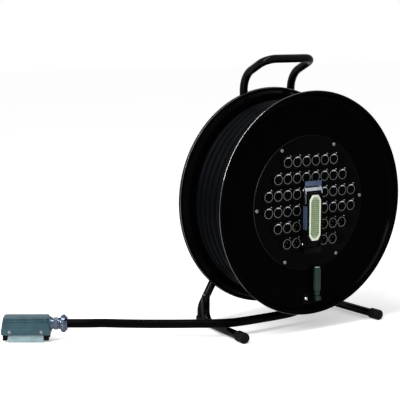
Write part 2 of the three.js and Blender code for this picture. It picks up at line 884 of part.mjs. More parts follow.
/** A locking lever, drawn about its pivot: two arms and a bent cross plate beyond the housing's end. */
function lockingLever() {
  const inner = portWidth / 2 + fitGap;
  const outer = inner + leverSheet;
  const half = leverArmWidth / 2;
  const arm = new THREE.Shape();
  arm.absarc(0, 0, half, Math.PI, Math.PI * 2);
  arm.lineTo(half, leverReach - leverSeat);
  arm.lineTo(half - leverSheet, leverReach - leverSeat);
  arm.lineTo(-half, leverPlateStart);
  const plate = new THREE.Shape();
  plate.moveTo(half - leverSheet, leverPlateStart);
  plate.lineTo(half, leverPlateStart);
  plate.lineTo(half, leverReach - leverSeat / 2);
  plate.lineTo(half - leverTipBend, leverReach);
  plate.lineTo(half - leverTipBend - leverSheet, leverReach - leverSheet);
  plate.lineTo(half - leverSheet, leverReach - leverSeat / 2 - leverSheet / 2);
  const arms = [sideSlab(arm, -outer, -inner), sideSlab(arm, inner, outer)];
  const holes = crossBar(pivotPegRadius + fitGap, -outer - overrun, outer + overrun, 0, socketSteps);
  return carve(sideSlab(plate, -outer, outer), arms, [holes]);
}

const gasketShape = roundedRectangle(portBaseWidth, portBaseLength, portCorner);
gasketShape.holes.push(new THREE.Path(portWindow().getPoints(1).reverse()));
add("multipin_gasket", slab(gasketShape, gasketFront, socketBack, 2), blackRubber, port);
add("multipin_housing", portHousing(), socketBlack, port);
add("multipin_insert", portInsert(), insertWhite, port);
const topLever = add("top_locking_lever", lockingLever(), chrome, port);
topLever.position.set(0, pegDepth, pivotSpacing / 2);
const bottomLever = add("bottom_locking_lever", lockingLever(), chrome, port);
bottomLever.position.set(0, pegDepth, -pivotSpacing / 2);
bottomLever.geometry.rotateZ(Math.PI).rotateX(Math.PI);

// Crank

const crankPivotRadius = dishRadius - crankInset;
const gripEnd = crankPivotRadius - panelRadius + gripOverlap;
const gripLength = gripEnd - gripStart;
const crank = new THREE.Group();
crank.position.set(crankOffset, flangeFace - crankStandoff, -crankPivotRadius);
model.add(crank);
const bracketBack = crankStandoff - fitGap;
const bracketFront = bracketBack - crankBase;
const earInner = crankEyeWidth / 2 + fitGap;
const earOuter = earInner + crankEar;

/** The bracket: a base on the flange with two ears that hold the hinge pin. */
function crankBracket() {
  const shape = roundedRectangle(crankBaseWidth, crankBaseHeight, crankEar);
  const base = slab(shape, bracketFront, bracketBack, 2);
  base.translate((crankBaseHeight - crankBaseWidth) / 2, 0, 0);
  const ear = new THREE.Shape();
  ear.absarc(0, 0, crankEarWidth / 2, Math.PI / 2, Math.PI * 1.5);
  ear.lineTo(bracketFront + crankBase / 2, -crankEarWidth / 2);
  ear.lineTo(bracketFront + crankBase / 2, crankEarWidth / 2);
  const ears = [sideSlab(ear, -earOuter, -earInner), sideSlab(ear, earInner, earOuter)];
  const pinHole = crossBar(crankPinRadius + fitGap, -earOuter - overrun, earOuter + overrun);
  const rivetHole = disc(crankRivetRadius / 2 + fitGap, bracketFront - overrun, bracketBack + overrun);
  rivetHole.translate(-crankRivetOffset, 0, 0);
  return carve(base, ears, [pinHole, rivetHole]);
}

/** A domed rivet head with a short shank in the bracket. */
function crankRivet() {
  const seat = bracketFront - fitGap;
  return revolve([
    [0, seat - crankRivetHeight],
    [crankRivetRadius * 0.6, seat - crankRivetHeight * 0.85],
    [crankRivetRadius, seat - crankRivetHeight / 4],
    [crankRivetRadius, seat],
    [crankRivetRadius / 2, seat],
    [crankRivetRadius / 2, bracketBack - fitGap],
    [0, bracketBack - fitGap],
  ], smallSteps);
}

/** The folding arm: an eye on the hinge pin, a collar and the spindle that the grip turns on. */
function crankArm() {
  const eye = crossBar(crankEyeRadius, -crankEyeWidth / 2, crankEyeWidth / 2);
  const rod = post(crankRodRadius, -gripEnd, -crankEyeRadius / 2);
  const collar = post(crankEyeRadius, -(gripStart - fitGap), -(crankEyeRadius + crankEar));
  for (const piece of [rod, collar]) piece.rotateX(Math.PI);
  const bore = crossBar(crankPinRadius + fitGap, -crankEyeWidth, crankEyeWidth);
  return carve(eye, [rod, collar], [bore]);
}

/** The grip: a sleeve with rounded ends, a little fuller in the middle. */
function crankGrip() {
  const bore = crankRodRadius + fitGap;
  const widthShares = [[0, 0.86], [0.08, 0.97], [0.5, 1], [0.92, 0.97], [1, 0.86]];
  const outline = widthShares.map(([share, width]) => [gripRadius * width, gripLength * share - gripEnd]);
  return revolve([[bore, -gripEnd], ...outline, [bore, -gripStart]], smallSteps).rotateX(-Math.PI / 2);
}

/** The hinge pin, with a head on one side. */
function crankPin() {
  const shank = crossBar(crankPinRadius, -earOuter - fitGap, earOuter + crankPinRadius / 2);
  const head = crossBar(crankPinRadius * 1.6, -earOuter - fitGap - crankPinRadius / 2, -earOuter - fitGap);
  return carve(shank, [head.translate(overrun / 100, 0, 0)]);
}

add("crank_bracket", crankBracket(), zincSteel, crank);
add("crank_rivet", crankRivet(), zincSteel, crank).position.set(-crankRivetOffset, 0, 0);
add("crank_hinge_pin", crankPin(), zincSteel, crank);
add("crank_arm", crankArm(), zincSteel, crank);
add("crank_grip", crankGrip(), gripGreen, crank);
const capStart = gripEnd + fitGap;
add("crank_end_cap", post(crankCapRadius, capStart, capStart + crankCapHeight), insertWhite, crank);

// Free end of the cable

// The free run, laid by hand: x, y from the front rim and height above the floor.
const tailRoute = [
  [102, 54.1, 98],
  [72, 54.1, 75],
  [44, 54.1, 55.5],
  [14, 54.1, 40.5],
  [-20, 54.1, 34],
  [-60, 54.1, 32.4],
  [-105, 54.1, 32.2],
  [-150, 54.6, 32.2],
  [-184, 57.5, 32.4],
  [-214, 68, 32.6],
  [-250, 92, 32],
  [-300, 126.5, 31],
  [-350, 156.5, 31.6],
  [-400, 179, 34.4],
  [-438, 192, 37.8],
  [-471, 202.5, 39.7],
  [-489.5, 212.9, 40],
  [-508, 224.7, 40],
];

/** The route of the tail: held in its channel round the winding, then along the free run. */
function tailPath() {
  const points = [];
  const heldSteps = 6;
  for (let i = 0; i <= heldSteps; i += 1) {
    const angle = radians(tailLeaveAngle + tailHeldAngle * (1 - i / heldSteps));
    const [across, up] = [Math.sin(angle), -Math.cos(angle)];
    points.push(vector(outerTurnRadius * across, turnDepth(tailTurnIndex), outerTurnRadius * up));
  }
  for (const [x, y, height] of tailRoute) points.push(vector(x, y, height - axleHeight));
  return new THREE.CatmullRomCurve3(points, false, "centripetal");
}

add("cable_tail", tube(tailPath(), cableRadius, tailSteps), cableJacket);

const freeEnd = new THREE.Group();
const [endX, endY] = tailRoute[tailRoute.length - 1];
freeEnd.position.set(endX, endY, glandHeight - axleHeight);
freeEnd.rotation.z = radians(hoodTurn);
model.add(freeEnd);
const neckStart = glandNutLength + fitGap * 2;
const hoodStart = neckStart + glandNeckLength + fitGap;
const hoodMiddle = hoodStart + hoodLength / 2;
const rimLevel = skirtHeight - glandHeight;
const hoodTop = rimLevel + hoodHeight;

/** Extrudes a shape drawn in X and Y upwards from one height to another. */
function upright(shape, from, to, curveSegments = 2) {
  const geometry = new THREE.ExtrudeGeometry(shape, { depth: to - from, bevelEnabled: false, curveSegments });
  return geometry.translate(0, 0, from);
}

/** The same with its edges rounded off. */
function roundedUpright(shape, from, to, round) {
  const geometry = new THREE.ExtrudeGeometry(shape, {
    depth: to - from - round * 2,
    curveSegments: 2,
    bevelThickness: round,
    bevelSize: round,
    bevelOffset: -round,
    bevelSegments: 2,
  });
  return geometry.translate(0, 0, from + round);
}

/** The cable hood: a cast cap with a wider rim, a cable entry and four locking pegs, open below. */
function hoodShell() {
  const topShape = roundedRectangle(hoodTopLength, hoodTopWidth, hoodCorner);
  const top = roundedUpright(topShape, rimLevel, hoodTop, hoodTopRound);
  const rimShape = roundedRectangle(hoodLength, hoodWidth, hoodCorner);
  const rim = upright(rimShape, rimLevel, rimLevel + hoodRimHeight);
  const hollow = roundedRectangle(hoodTopLength - hoodWall * 2, hoodTopWidth - hoodWall * 2, hoodCorner / 2);
  const mouth = roundedRectangle(hoodLength - hoodWall * 2, hoodWidth - hoodWall * 2, hoodCorner / 2);
  const low = rimLevel - overrun;
  const hollows = [
    upright(hollow, low, hoodTop - hoodWall),
    upright(mouth, low, rimLevel + hoodRimHeight - hoodWall),
  ];
  const entry = crossBar(hoodEntryRadius, -hoodLength / 2, hoodWall - hoodTopLength / 2);
  const pegLevel = rimLevel + hoodRimHeight - hoodPegRadius * 2;
  const pegReach = hoodWidth / 2 + hoodPegReach;
  const pegs = [-hoodPegSpacing / 2, hoodPegSpacing / 2].map((x) =>
    disc(hoodPegRadius, -pegReach, pegReach, 0, socketSteps).translate(x, 0, pegLevel),
  );
  let body = solid(top).add(solid(rim)).add(solid(entry));
  for (const peg of pegs) body = body.add(solid(peg));
  for (const piece of hollows) body = body.subtract(solid(piece));
  return geometryOf(body).translate(hoodMiddle, 0, 0);
}

/** The black seal in the hood's mouth, with a lug at each corner. */
function hoodSeal() {
  const length = hoodLength - hoodWall * 2 - fitGap * 2;
  const width = hoodWidth - hoodWall * 2 - fitGap * 2;
  const plate = upright(roundedRectangle(length, width, hoodCorner / 2), rimLevel, rimLevel + sealThickness);
  const window = roundedRectangle(skirtLength + fitGap * 2, skirtWidth + fitGap * 2, hoodCorner / 4);
  const lugShape = roundedRectangle(lugLength, lugWidth, lugRound);
  const lugs = [];
  for (const end of [-1, 1]) {
    for (const side of [-1, 1]) {
      const lug = upright(lugShape, rimLevel - lugHeight, rimLevel + sealThickness / 2, 1);
      lugs.push(lug.translate((end * (length - lugLength)) / 2, (side * (width - lugWidth)) / 2, 0));
    }
  }
  const cut = upright(window, rimLevel - lugHeight * 2, rimLevel + sealThickness + overrun);
  return carve(plate, lugs, [cut]).translate(hoodMiddle, 0, 0);
}

/** The gland nut: ribbed at the cable's side and drawn in to the neck. */
function glandNut() {
  const start = fitGap;
  const end = start + glandNutLength;
  return revolve(
    [
      [0, start],
      [glandNutRadius * 0.7, start],
      [glandNutRadius, start + glandNutLength * 0.35],
      [glandNutRadius, end - glandNutLength * 0.12],
      [glandNutRadius * 0.92, end],
      [0, end],
    ],
    smallSteps,
  ).rotateZ(-Math.PI / 2);
}

add("gland_nut", glandNut(), chrome, freeEnd);
const neck = disc(glandNeckRadius, neckStart, neckStart + glandNeckLength).rotateZ(-Math.PI / 2);
add("gland_body", neck, chrome, freeEnd);
add("hood_shell", hoodShell(), hoodGrey, freeEnd);
add("hood_seal", hoodSeal(), blackRubber, freeEnd);
const skirt = roundedRectangle(skirtLength, skirtWidth, hoodCorner / 4);
const skirtTop = rimLevel + hoodRimHeight - hoodWall - fitGap;
add("hood_insert", upright(skirt, -glandHeight, skirtTop).translate(hoodMiddle, 0, 0), insertWhite, freeEnd);

export default group;
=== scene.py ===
"""A multicore cable drum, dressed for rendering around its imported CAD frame.

The drum turns on a bent tube frame. Its front flange carries a panel of chassis sockets, a multipin
outlet with two locking levers and a folding crank. A free cable end leaves the winding at the bottom
and ends in a gland and a cable hood. Sizes are in millimetres, about the axle in height and the front
rim in depth, as the drum is drawn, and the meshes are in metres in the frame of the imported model.
"""

from __future__ import annotations

import logging
import math
from dataclasses import dataclass, field
from enum import Enum
from itertools import product
from typing import Any, Callable, Container, Sequence

import bmesh
import bpy
from mathutils import Matrix, Vector

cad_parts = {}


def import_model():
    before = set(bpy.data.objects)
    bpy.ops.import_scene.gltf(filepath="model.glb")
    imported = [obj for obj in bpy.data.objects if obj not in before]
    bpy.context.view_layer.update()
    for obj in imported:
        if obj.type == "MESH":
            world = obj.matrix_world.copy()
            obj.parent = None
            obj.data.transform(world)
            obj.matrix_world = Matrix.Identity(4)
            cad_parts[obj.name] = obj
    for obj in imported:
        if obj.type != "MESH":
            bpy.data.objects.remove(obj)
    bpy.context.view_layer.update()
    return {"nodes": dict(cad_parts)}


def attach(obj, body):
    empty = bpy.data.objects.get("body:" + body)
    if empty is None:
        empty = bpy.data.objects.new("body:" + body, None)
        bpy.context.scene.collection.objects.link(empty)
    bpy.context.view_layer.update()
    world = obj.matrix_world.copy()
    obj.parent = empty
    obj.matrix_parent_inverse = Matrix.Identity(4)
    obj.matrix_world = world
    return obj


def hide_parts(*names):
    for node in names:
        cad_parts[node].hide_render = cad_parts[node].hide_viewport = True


logging.basicConfig(level=logging.INFO, format="%(message)s")
log = logging.getLogger("cable_drum")

Pair = tuple[float, float]
Triple = tuple[float, float, float]
Reach = Callable[[int, float], float]
Socket = bpy.types.NodeSocket

AXLE_HEIGHT = 294.0
RIM_TO_MIDDLE = 95.785
METRES = 0.001
FIT_GAP = 0.3
CABLE_RADIUS = 10.0
TURN_RADIUS = 217.2
TURN_SIDES = 20
STEP_OVER = (0.5, 0.78)
SHARP = 32.0
MERGE_WITHIN = 1e-4
SLIVER = 1e-5
LONGEST_ROUNDING = 0.49
WHITE = (1.0, 1.0, 1.0, 1.0)
ORIGIN = (0.0, 0.0)
COLOR, FLOAT, INT, GEOMETRY, OBJECT = (
    f"NodeSocket{kind}" for kind in ("Color", "Float", "Int", "Geometry", "Object")
)

SIXTH, QUARTER, HALF = math.pi / 3, math.pi / 2, math.pi
SIDES = (-1, 1)
CORNERS = tuple(product(SIDES, repeat=2))
LEFT_RIGHT = (("left", -1), ("right", 1))


def place(x: float = 0.0, y: float = 0.0, z: float = 0.0) -> Matrix:
    """Returns the move of a piece drawn about its own centre to a place on the drum, in millimetres."""
    return Matrix.Translation((x, y, z))


def spin(axis: str, degrees: float) -> Matrix:
    """Returns a turn about an axis."""
    return Matrix.Rotation(math.radians(degrees), 4, axis)


HOME = Matrix.Scale(METRES, 4) @ place(0.0, -RIM_TO_MIDDLE, AXLE_HEIGHT)
ACROSS = Matrix(((0, 1, 0, 0), (1, 0, 0, 0), (0, 0, 1, 0), (0, 0, 0, 1)))
LYING = Matrix(((1, 0, 0, 0), (0, 0, 1, 0), (0, 1, 0, 0), (0, 0, 0, 1)))


class Slot(Enum):
    """The finishes that the record names."""

    PAINT = "paint"
    RUBBER = "rubber"
    JACKET = "jacket"
    STEEL = "steel"
    POLYMER = "polymer"
    SOCKET = "socket"
    PORT = "port"
    INSERT = "insert"
    CHROME = "chrome"
    GRIP = "grip"
    HOOD = "hood"


class Body(Enum):
    """The bodies that carry the pieces."""

    FRAME = "frame"
    DRUM = "drum"
    CRANK_ARM = "crank_arm"
    CRANK_GRIP = "crank_grip"
    TOP_LEVER = "top_lever"
    BOTTOM_LEVER = "bottom_lever"
    BRAKE_SCREW = "brake_screw"


# Node trees


class TreeWriter:
    """Writes the nodes of one tree: values are set and sockets are linked by the names of the inputs."""

    columns = 8
    column_width = 220
    row_height = 260

    def __init__(self, tree: bpy.types.NodeTree) -> None:
        """Starts on a tree.

        Args:
            tree: the tree that the nodes go into.
        """
        self.tree = tree

    @classmethod
    def over(cls, block: bpy.types.Material | bpy.types.World) -> "TreeWriter":
        """Returns the writer of a material's or a world's tree, which starts empty."""
        block.use_nodes = True
        block.node_tree.nodes.clear()
        return cls(block.node_tree)

    @classmethod
    def group(cls, kind: str, name: str, inputs: dict[str, Any], outputs: dict[str, str]) -> "TreeWriter":
        """Starts a node group with named sockets.

        Args:
            kind: GeometryNodeTree or ShaderNodeTree.
            name: the group's name.
            inputs: each input's name to its default, or to its type where it has no default.
            outputs: each output's name to its type.

        Returns:
            The writer of the group's tree.
        """
        tree = bpy.data.node_groups.new(name, kind)
        for label, given in inputs.items():
            typed = given if isinstance(given, str) else {float: FLOAT, int: INT}[type(given)]
            made = tree.interface.new_socket(label, in_out="INPUT", socket_type=typed)
            if typed != given:
                made.default_value = given
        for label, typed in outputs.items():
            tree.interface.new_socket(label, in_out="OUTPUT", socket_type=typed)
        return cls(tree)

    def node(self, kind: str, values: dict[Any, Any] | None = None, **settings: Any) -> bpy.types.Node:
        """Adds a node.

        Args:
            kind: the node's type name.
            values: input name or index to a value, or to the socket that feeds it.
            settings: properties of the node itself.

        Returns:
            The new node.
        """
        row, column = divmod(len(self.tree.nodes), self.columns)
        made = self.tree.nodes.new(kind)
        made.location = (self.column_width * column, -self.row_height * row)
        for name, value in settings.items():
            setattr(made, name, value)
        for key, value in (values or {}).items():
            if isinstance(value, Socket):
                self.tree.links.new(value, made.inputs[key])
            else:
                made.inputs[key].default_value = value
        return made

    def math(self, operation: str, first: Any, second: Any = 0.0, clamp: bool = False) -> Socket:
        """Adds a math node and returns its result."""
        values = {0: first, 1: second}
        return self.node("ShaderNodeMath", values, operation=operation, use_clamp=clamp).outputs[0]

    def product(self, *factors: Any) -> Socket:
        """Multiplies two or more values and returns the result."""
        first, *others = factors
        for other in others:
            first = self.math("MULTIPLY", first, other)
        return first

    def ramp(self, value: Any, low: float, high: float, **settings: Any) -> Socket:
        """Returns a value's share of the way from low to high."""
        values = {"Value": value, "From Min": low, "From Max": high}
        return self.node("ShaderNodeMapRange", values, **settings).outputs[0]

    def noise(self, scale: Any, detail: float = 2.0, roughness: float = 0.5) -> Socket:
        """Returns noise that stays on the piece as it moves."""
        spot = self.node("ShaderNodeTexCoord").outputs["Object"]
        values = {"Vector": spot, "Scale": scale, "Detail": detail, "Roughness": roughness}
        return self.node("ShaderNodeTexNoise", values).outputs["Fac"]

    def blend(self, share: Any, first: Any, second: Any) -> Socket:
        """Returns a colour between two others."""
        values = {"Factor": share, "A": first, "B": second}
        return self.node("ShaderNodeMix", values, data_type="RGBA").outputs["Result"]


class SurfaceGroups:
    """The shader groups that the finishes share."""

    def __init__(self) -> None:
        """Builds every group once."""
        self.grain = self._grain()
        dust, bare = (0.3, 0.29, 0.27, 1.0), (0.2, 0.28, 0.3, 1.0)
        self.dust = self._layer("Settled dust", dust, (60.0, 6.0, 0.4, 0.7), "Normal", (0.2, 1.0))
        self.wear = self._layer("Rubbed edges", bare, (120.0, 5.0, 0.42, 0.6), "Pointiness", (0.53, 0.62))

    def _grain(self) -> bpy.types.NodeTree:
        """Fine grain and slow mottling: a colour, a roughness and a height that change over the surface."""
        inputs = {"Light": COLOR, "Dark": COLOR, "Grain": 900.0, "Mottle": 25.0}
        inputs |= {"Roughness": 0.4, "Spread": 0.1}
        outputs = {"Color": COLOR, "Roughness": FLOAT, "Height": FLOAT}
        write = TreeWriter.group("ShaderNodeTree", "Grain and mottle", inputs, outputs)
        given = write.node("NodeGroupInput").outputs
        mottle = write.noise(given["Mottle"], 4.0, 0.6)
        grain = write.noise(given["Grain"])
        color = write.blend(write.ramp(mottle, 0.35, 0.65), given["Light"], given["Dark"])
        centred = write.math("SUBTRACT", write.product(write.math("ADD", mottle, grain), 0.5), 0.5)
        spread = write.product(centred, write.product(given["Spread"], 4.0))
        rough = write.math("ADD", given["Roughness"], spread, clamp=True)
        write.node("NodeGroupOutput", {"Color": color, "Roughness": rough, "Height": grain})
        return write.tree

    def _layer(self, name: str, tone: tuple, specks: tuple, source: str, faces: Pair) -> bpy.types.NodeTree:
        """A second colour over the base, broken up by specks.

        Args:
            name: the group's name.
            tone: the second colour.
            specks: the scale and the detail of the noise, and the noise where specks start and are full.
            source: what the layer depends on: Normal for what faces up, Pointiness for edges.
            faces: the value of the source where the layer starts and where it is full.

        Returns:
            The group, with a share of 1 where the layer is full.
        """
        inputs = {"Base": COLOR, "Amount": 0.1}
        write = TreeWriter.group("ShaderNodeTree", name, inputs, {"Color": COLOR})
        given = write.node("NodeGroupInput").outputs
        scale, detail, *patch = specks
        found = write.node("ShaderNodeNewGeometry").outputs[source]
        if source == "Normal":
            found = write.node("ShaderNodeSeparateXYZ", {0: found}).outputs["Z"]
        turned, patches = write.ramp(found, *faces), write.ramp(write.noise(scale, detail), *patch)
        share = write.product(turned, patches, given["Amount"])
        write.node("NodeGroupOutput", {"Color": write.blend(share, given["Base"], tone)})
        return write.tree


# Finishes


@dataclass(frozen=True)
class Finish:
    """One finish: its two tones, its gloss, its grain and how much dust and wear it carries."""

    name: str
    light: Triple
    dark: Triple
    roughness: float
    metallic: float = 0.0
    specular: float = 0.5
    coat: float = 0.0
    spread: float = 0.05
    grain: float = 900.0
    mottle: float = 25.0
    bump: float = 0.02
    dust: float = 0.0
    wear: float = 0.0
    coat_roughness: float = 0.08
    bump_depth: float = 0.001

    def build(self, groups: SurfaceGroups) -> bpy.types.Material:
        """Builds the material.

        Args:
            groups: the shader groups that the finishes share.

        Returns:
            The new material.
        """
        made = bpy.data.materials.new(self.name)
        write = TreeWriter.over(made)
        values = {
            "Light": (*self.light, 1.0),
            "Dark": (*self.dark, 1.0),
            "Grain": self.grain,
            "Mottle": self.mottle,
            "Roughness": self.roughness,
            "Spread": self.spread,
        }
        grain = write.node("ShaderNodeGroup", values, node_tree=groups.grain).outputs
        color = grain["Color"]
        for amount, group in ((self.wear, groups.wear), (self.dust, groups.dust)):
            if amount > 0:
                layer = write.node("ShaderNodeGroup", {"Base": color, "Amount": amount}, node_tree=group)
                color = layer.outputs["Color"]
        relief = {"Strength": self.bump, "Distance": self.bump_depth, "Height": grain["Height"]}
        surface = {
            "Base Color": color,
            "Roughness": grain["Roughness"],
            "Metallic": self.metallic,
            "Specular IOR Level": self.specular,
            "Coat Weight": self.coat,
            "Coat Roughness": self.coat_roughness,
            "Normal": write.node("ShaderNodeBump", relief).outputs[0],
        }
        shader = write.node("ShaderNodeBsdfPrincipled", surface)
        write.node("ShaderNodeOutputMaterial", {"Surface": shader.outputs[0]})
        return made


class Look(Enum):
    """Every finish on the drum."""

    ENAMEL = Finish("gloss_black_enamel", (0.0011, 0.0011, 0.0013), (0.0007, 0.0007, 0.0009), 0.16,
                    specular=0.006, bump=0.03, grain=260.0, spread=0.03)
    # RIM is a painted highlight: a thin band of the bead painted light grey under a strong coat, standing for
    # the highlight line along the rims.
    RIM = Finish("black_rim_painted_highlight", (0.05, 0.05, 0.052), (0.03, 0.03, 0.032), 0.16, specular=1.0, coat=0.6,
                 grain=260.0, spread=0.02)
    TUBE = Finish("gloss_black_tube_enamel", (0.0011, 0.0011, 0.0013), (0.0007, 0.0007, 0.0009), 0.14,
                  specular=0.07, bump=0.04, grain=240.0, spread=0.04)
    PANEL = Finish("satin_black_panel", (0.0013, 0.0013, 0.0015), (0.0009, 0.0009, 0.001), 0.34,
                   specular=0.014)
    PANEL_EDGE = Finish("bevelled_panel_edge", (0.011, 0.011, 0.012), (0.007, 0.007, 0.008), 0.36,
                        specular=0.2, spread=0.08)
    RUBBER = Finish("black_rubber", (0.0024, 0.0024, 0.0024), (0.0015, 0.0015, 0.0015), 0.62, specular=0.08,
                    bump=0.12, grain=1400.0, dust=0.004)
    # JACKET and TAIL are the same cable: the wound turns are tinted bluer than the free end, a painted sheen
    # for the blue light on the turns.
    JACKET = Finish("satin_cable_jacket", (0.0009, 0.0012, 0.002), (0.0005, 0.0007, 0.0012), 0.42,
                    specular=0.024, bump=0.05, grain=700.0, mottle=40.0)
    TAIL = Finish("satin_tail_jacket", (0.0009, 0.0009, 0.0012), (0.0006, 0.0005, 0.0008), 0.42,
                  specular=0.024, bump=0.05, grain=700.0, mottle=40.0)
    ZINC = Finish("zinc_plate", (0.6, 0.61, 0.62), (0.42, 0.43, 0.45), 0.3, metallic=1.0, spread=0.14,
                  grain=500.0, mottle=70.0, bump=0.05)
    NICKEL = Finish("satin_nickel", (0.62, 0.63, 0.65), (0.5, 0.51, 0.53), 0.26, metallic=1.0, spread=0.08)
    DULL_NICKEL = Finish("dull_nickel", (0.28, 0.285, 0.285), (0.2, 0.205, 0.205), 0.34, metallic=1.0,
                         spread=0.1)
    # CHROME is a painted reflection: a blue tint on the top lever's tip.
    CHROME = Finish("lever_tip_painted_reflection", (0.12, 0.155, 0.26), (0.08, 0.11, 0.2), 0.12, metallic=1.0, spread=0.04,
                    bump=0.01)
    # The bottom lever is the same part as the top one, painted near black: painted shade.
    LEVER_PAINTED_SHADE = Finish("bottom_lever_painted_shade", (0.0025, 0.0025, 0.003), (0.0016, 0.0016, 0.002), 0.3,
                          specular=0.03, bump=0.01)
    CASTING = Finish("black_die_casting", (0.0015, 0.0015, 0.0018), (0.001, 0.001, 0.0012), 0.42,
                     specular=0.03, bump=0.1, grain=1200.0)
    POLYMER = Finish("moulded_black", (0.0012, 0.0012, 0.0014), (0.0008, 0.0008, 0.001), 0.48, specular=0.012,
                     bump=0.08, grain=1500.0)
    PORT = Finish("port_powder_coat", (0.032, 0.052, 0.085), (0.02, 0.035, 0.06), 0.45, specular=0.12,
                  bump=0.12, grain=1100.0)
    RESIN = Finish("pale_moulded_resin", (0.74, 0.8, 0.66), (0.64, 0.72, 0.55), 0.42, bump=0.04, mottle=50.0)
    CONTACT_FIELD = Finish("green_contact_field", (0.35, 0.44, 0.28), (0.26, 0.35, 0.2), 0.45, bump=0.04,
                           mottle=90.0)
    CONTACT = Finish("dark_contact_wells", (0.09, 0.14, 0.05), (0.06, 0.1, 0.03), 0.5, specular=0.2)
    SKIRT = Finish("pale_grey_resin", (0.3, 0.4, 0.42), (0.23, 0.33, 0.35), 0.4, specular=0.3, bump=0.04,
                   mottle=60.0)
    GLAND = Finish("dark_blued_plate", (0.11, 0.135, 0.18), (0.055, 0.072, 0.11), 0.18, metallic=1.0,
                   spread=0.1, bump=0.03)
    LEVER = Finish("bright_lever_plate", (0.66, 0.7, 0.76), (0.55, 0.6, 0.68), 0.2, metallic=1.0, spread=0.06,
                   bump=0.01)
    GOLD = Finish("dull_gold_contacts", (0.24, 0.22, 0.16), (0.16, 0.145, 0.1), 0.36, metallic=1.0)
    GRIP = Finish("grip_plastic", (0.013, 0.032, 0.025), (0.008, 0.022, 0.017), 0.26, specular=0.2)
    HOOD = Finish("hood_powder_coat", (0.033, 0.073, 0.091), (0.022, 0.052, 0.068), 0.42, specular=0.18,
                  bump=0.12, grain=1100.0, mottle=45.0, wear=0.14)


# Shapes


@dataclass
class Shell:
    """The corners and faces of a piece, in millimetres."""

    points: list[Vector] = field(default_factory=list)
    faces: list[tuple[int, ...]] = field(default_factory=list)

    @classmethod
    def through(cls, rings: Sequence[Sequence[Vector]], capped: bool = True) -> "Shell":
        """Draws the skin through rings of points.

        Args:
            rings: the rings in order, each with the same number of points.
            capped: True for a flat face at either end.

        Returns:
            The skin. Points that lie on each other are merged when the piece is made.
        """
        count, last = len(rings[0]), (len(rings) - 1) * len(rings[0])
        shell = cls([point for ring in rings for point in ring])
        for low, step in product(range(0, last, count), range(count)):
            ahead = (step + 1) % count
            shell.faces.append((low + step, low + ahead, low + count + ahead, low + count + step))
        if capped:
            shell.faces += [tuple(range(count))[::-1], tuple(range(last, last + count))]
        return shell

    def add(self, other: "Shell") -> "Shell":
        """Adds another shell's faces to this one and returns it."""
        start = len(self.points)
        self.points += [point.copy() for point in other.points]
        self.faces += [tuple(index + start for index in face) for face in other.faces]
        return self

    def moved(self, by: Matrix) -> "Shell":
        """Returns a moved copy."""
        return Shell([by @ point for point in self.points], list(self.faces))


def arc(radius: float, first: float, last: float, steps: int, middle: Pair = ORIGIN) -> list[Pair]:
    """Returns the points of an arc from one angle to another, with both ends."""
    angles = [first + (last - first) * step / steps for step in range(steps + 1)]
    return [(middle[0] + radius * math.cos(angle), middle[1] + radius * math.sin(angle)) for angle in angles]


def round_outline(radius: float, middle: Pair = ORIGIN, steps: int = 32, first: float = 0.0) -> list[Pair]:
    """Returns the outline of a circle about a middle point, from its first angle on."""
    return arc(radius, first, first + math.tau, steps, middle)[:-1]


def rounded_outline(
    width: float, height: float, corner: float, steps: int = 6, middle: Pair = ORIGIN
) -> list[Pair]:
    """Returns the outline of a rounded rectangle about a middle point."""
    outline = []
    for quarter, (across, up) in enumerate([(1, 1), (-1, 1), (-1, -1), (1, -1)]):
        centre = (across * (width / 2 - corner) + middle[0], up * (height / 2 - corner) + middle[1])
        outline += arc(corner, QUARTER * quarter, QUARTER * (quarter + 1), steps, centre)
    return outline


def lathe(profile: Sequence[Pair], steps: int = 48, reach: Reach | None = None) -> Shell:
    """Turns a closed profile about the Y axis.

    Args:
        profile: (radius, y) points. Points on the axis become poles.
        steps: how many facets go round.
        reach: the factor on the radius of a profile point at an angle, for lobes, flats and recesses.

    Returns:
        A closed shell.
    """
    rings = []
    for index, (radius, y) in enumerate(profile):
        ring = []
        for step in range(steps):
            angle = math.tau * step / steps
            wide = radius * (reach(index, angle) if reach else 1.0)
            ring.append(Vector((wide * math.cos(angle), y, wide * math.sin(angle))))
        rings.append(ring)
    on_axis = profile[0][0] == profile[-1][0] == 0.0
    return Shell.through(rings if on_axis else [*rings, rings[0]], capped=False)


def on_rows(rows: Container[int], shape: Callable[[float], float]) -> Reach:
    """Returns a reach that follows a shape of the angle on some rows of a profile, and is round elsewhere."""
    return lambda row, angle: shape(angle) if row in rows else 1.0


def hexed(angle: float) -> float:
    """Returns how far a hexagon reaches at an angle, as a share of the reach of its corners."""
    return math.cos(SIXTH / 2) / math.cos(angle % SIXTH - SIXTH / 2)


def rounded(profile: Sequence[Pair], corners: dict[int, float], steps: int = 5) -> list[Pair]:
    """Rounds some corners of a closed profile.

    Args:
        profile: the points.
        corners: the index of each corner to round, and how far from it the rounding starts.
        steps: how many steps each rounding has.

    Returns:
        The profile with a smooth curve at each of those corners.
    """
    made: list[Pair] = []
    for index, point in enumerate(profile):
        if index not in corners:
            made.append(point)
            continue
        here = Vector(point)
        ends = []
        for neighbour in (profile[index - 1], profile[(index + 1) % len(profile)]):
            edge = Vector(neighbour) - here
            ends.append(here + edge.normalized() * min(corners[index], edge.length * LONGEST_ROUNDING))
        for step in range(steps + 1):
            share = step / steps
            made.append(tuple(ends[0].lerp(here, share).lerp(here.lerp(ends[1], share), share)))
    return made


def threaded(radius: float, front: float, back: float, pitch: float) -> list[Pair]:
    """Returns the outside of a thread as profile points from front to back."""
    form = ((0.9, 0.0), (1.0, 0.3), (1.0, 0.5), (0.9, 0.8))
    turns = range(int((back - front) / pitch))
    return [(radius * wide, front + (turn + along) * pitch) for turn in turns for wide, along in form]


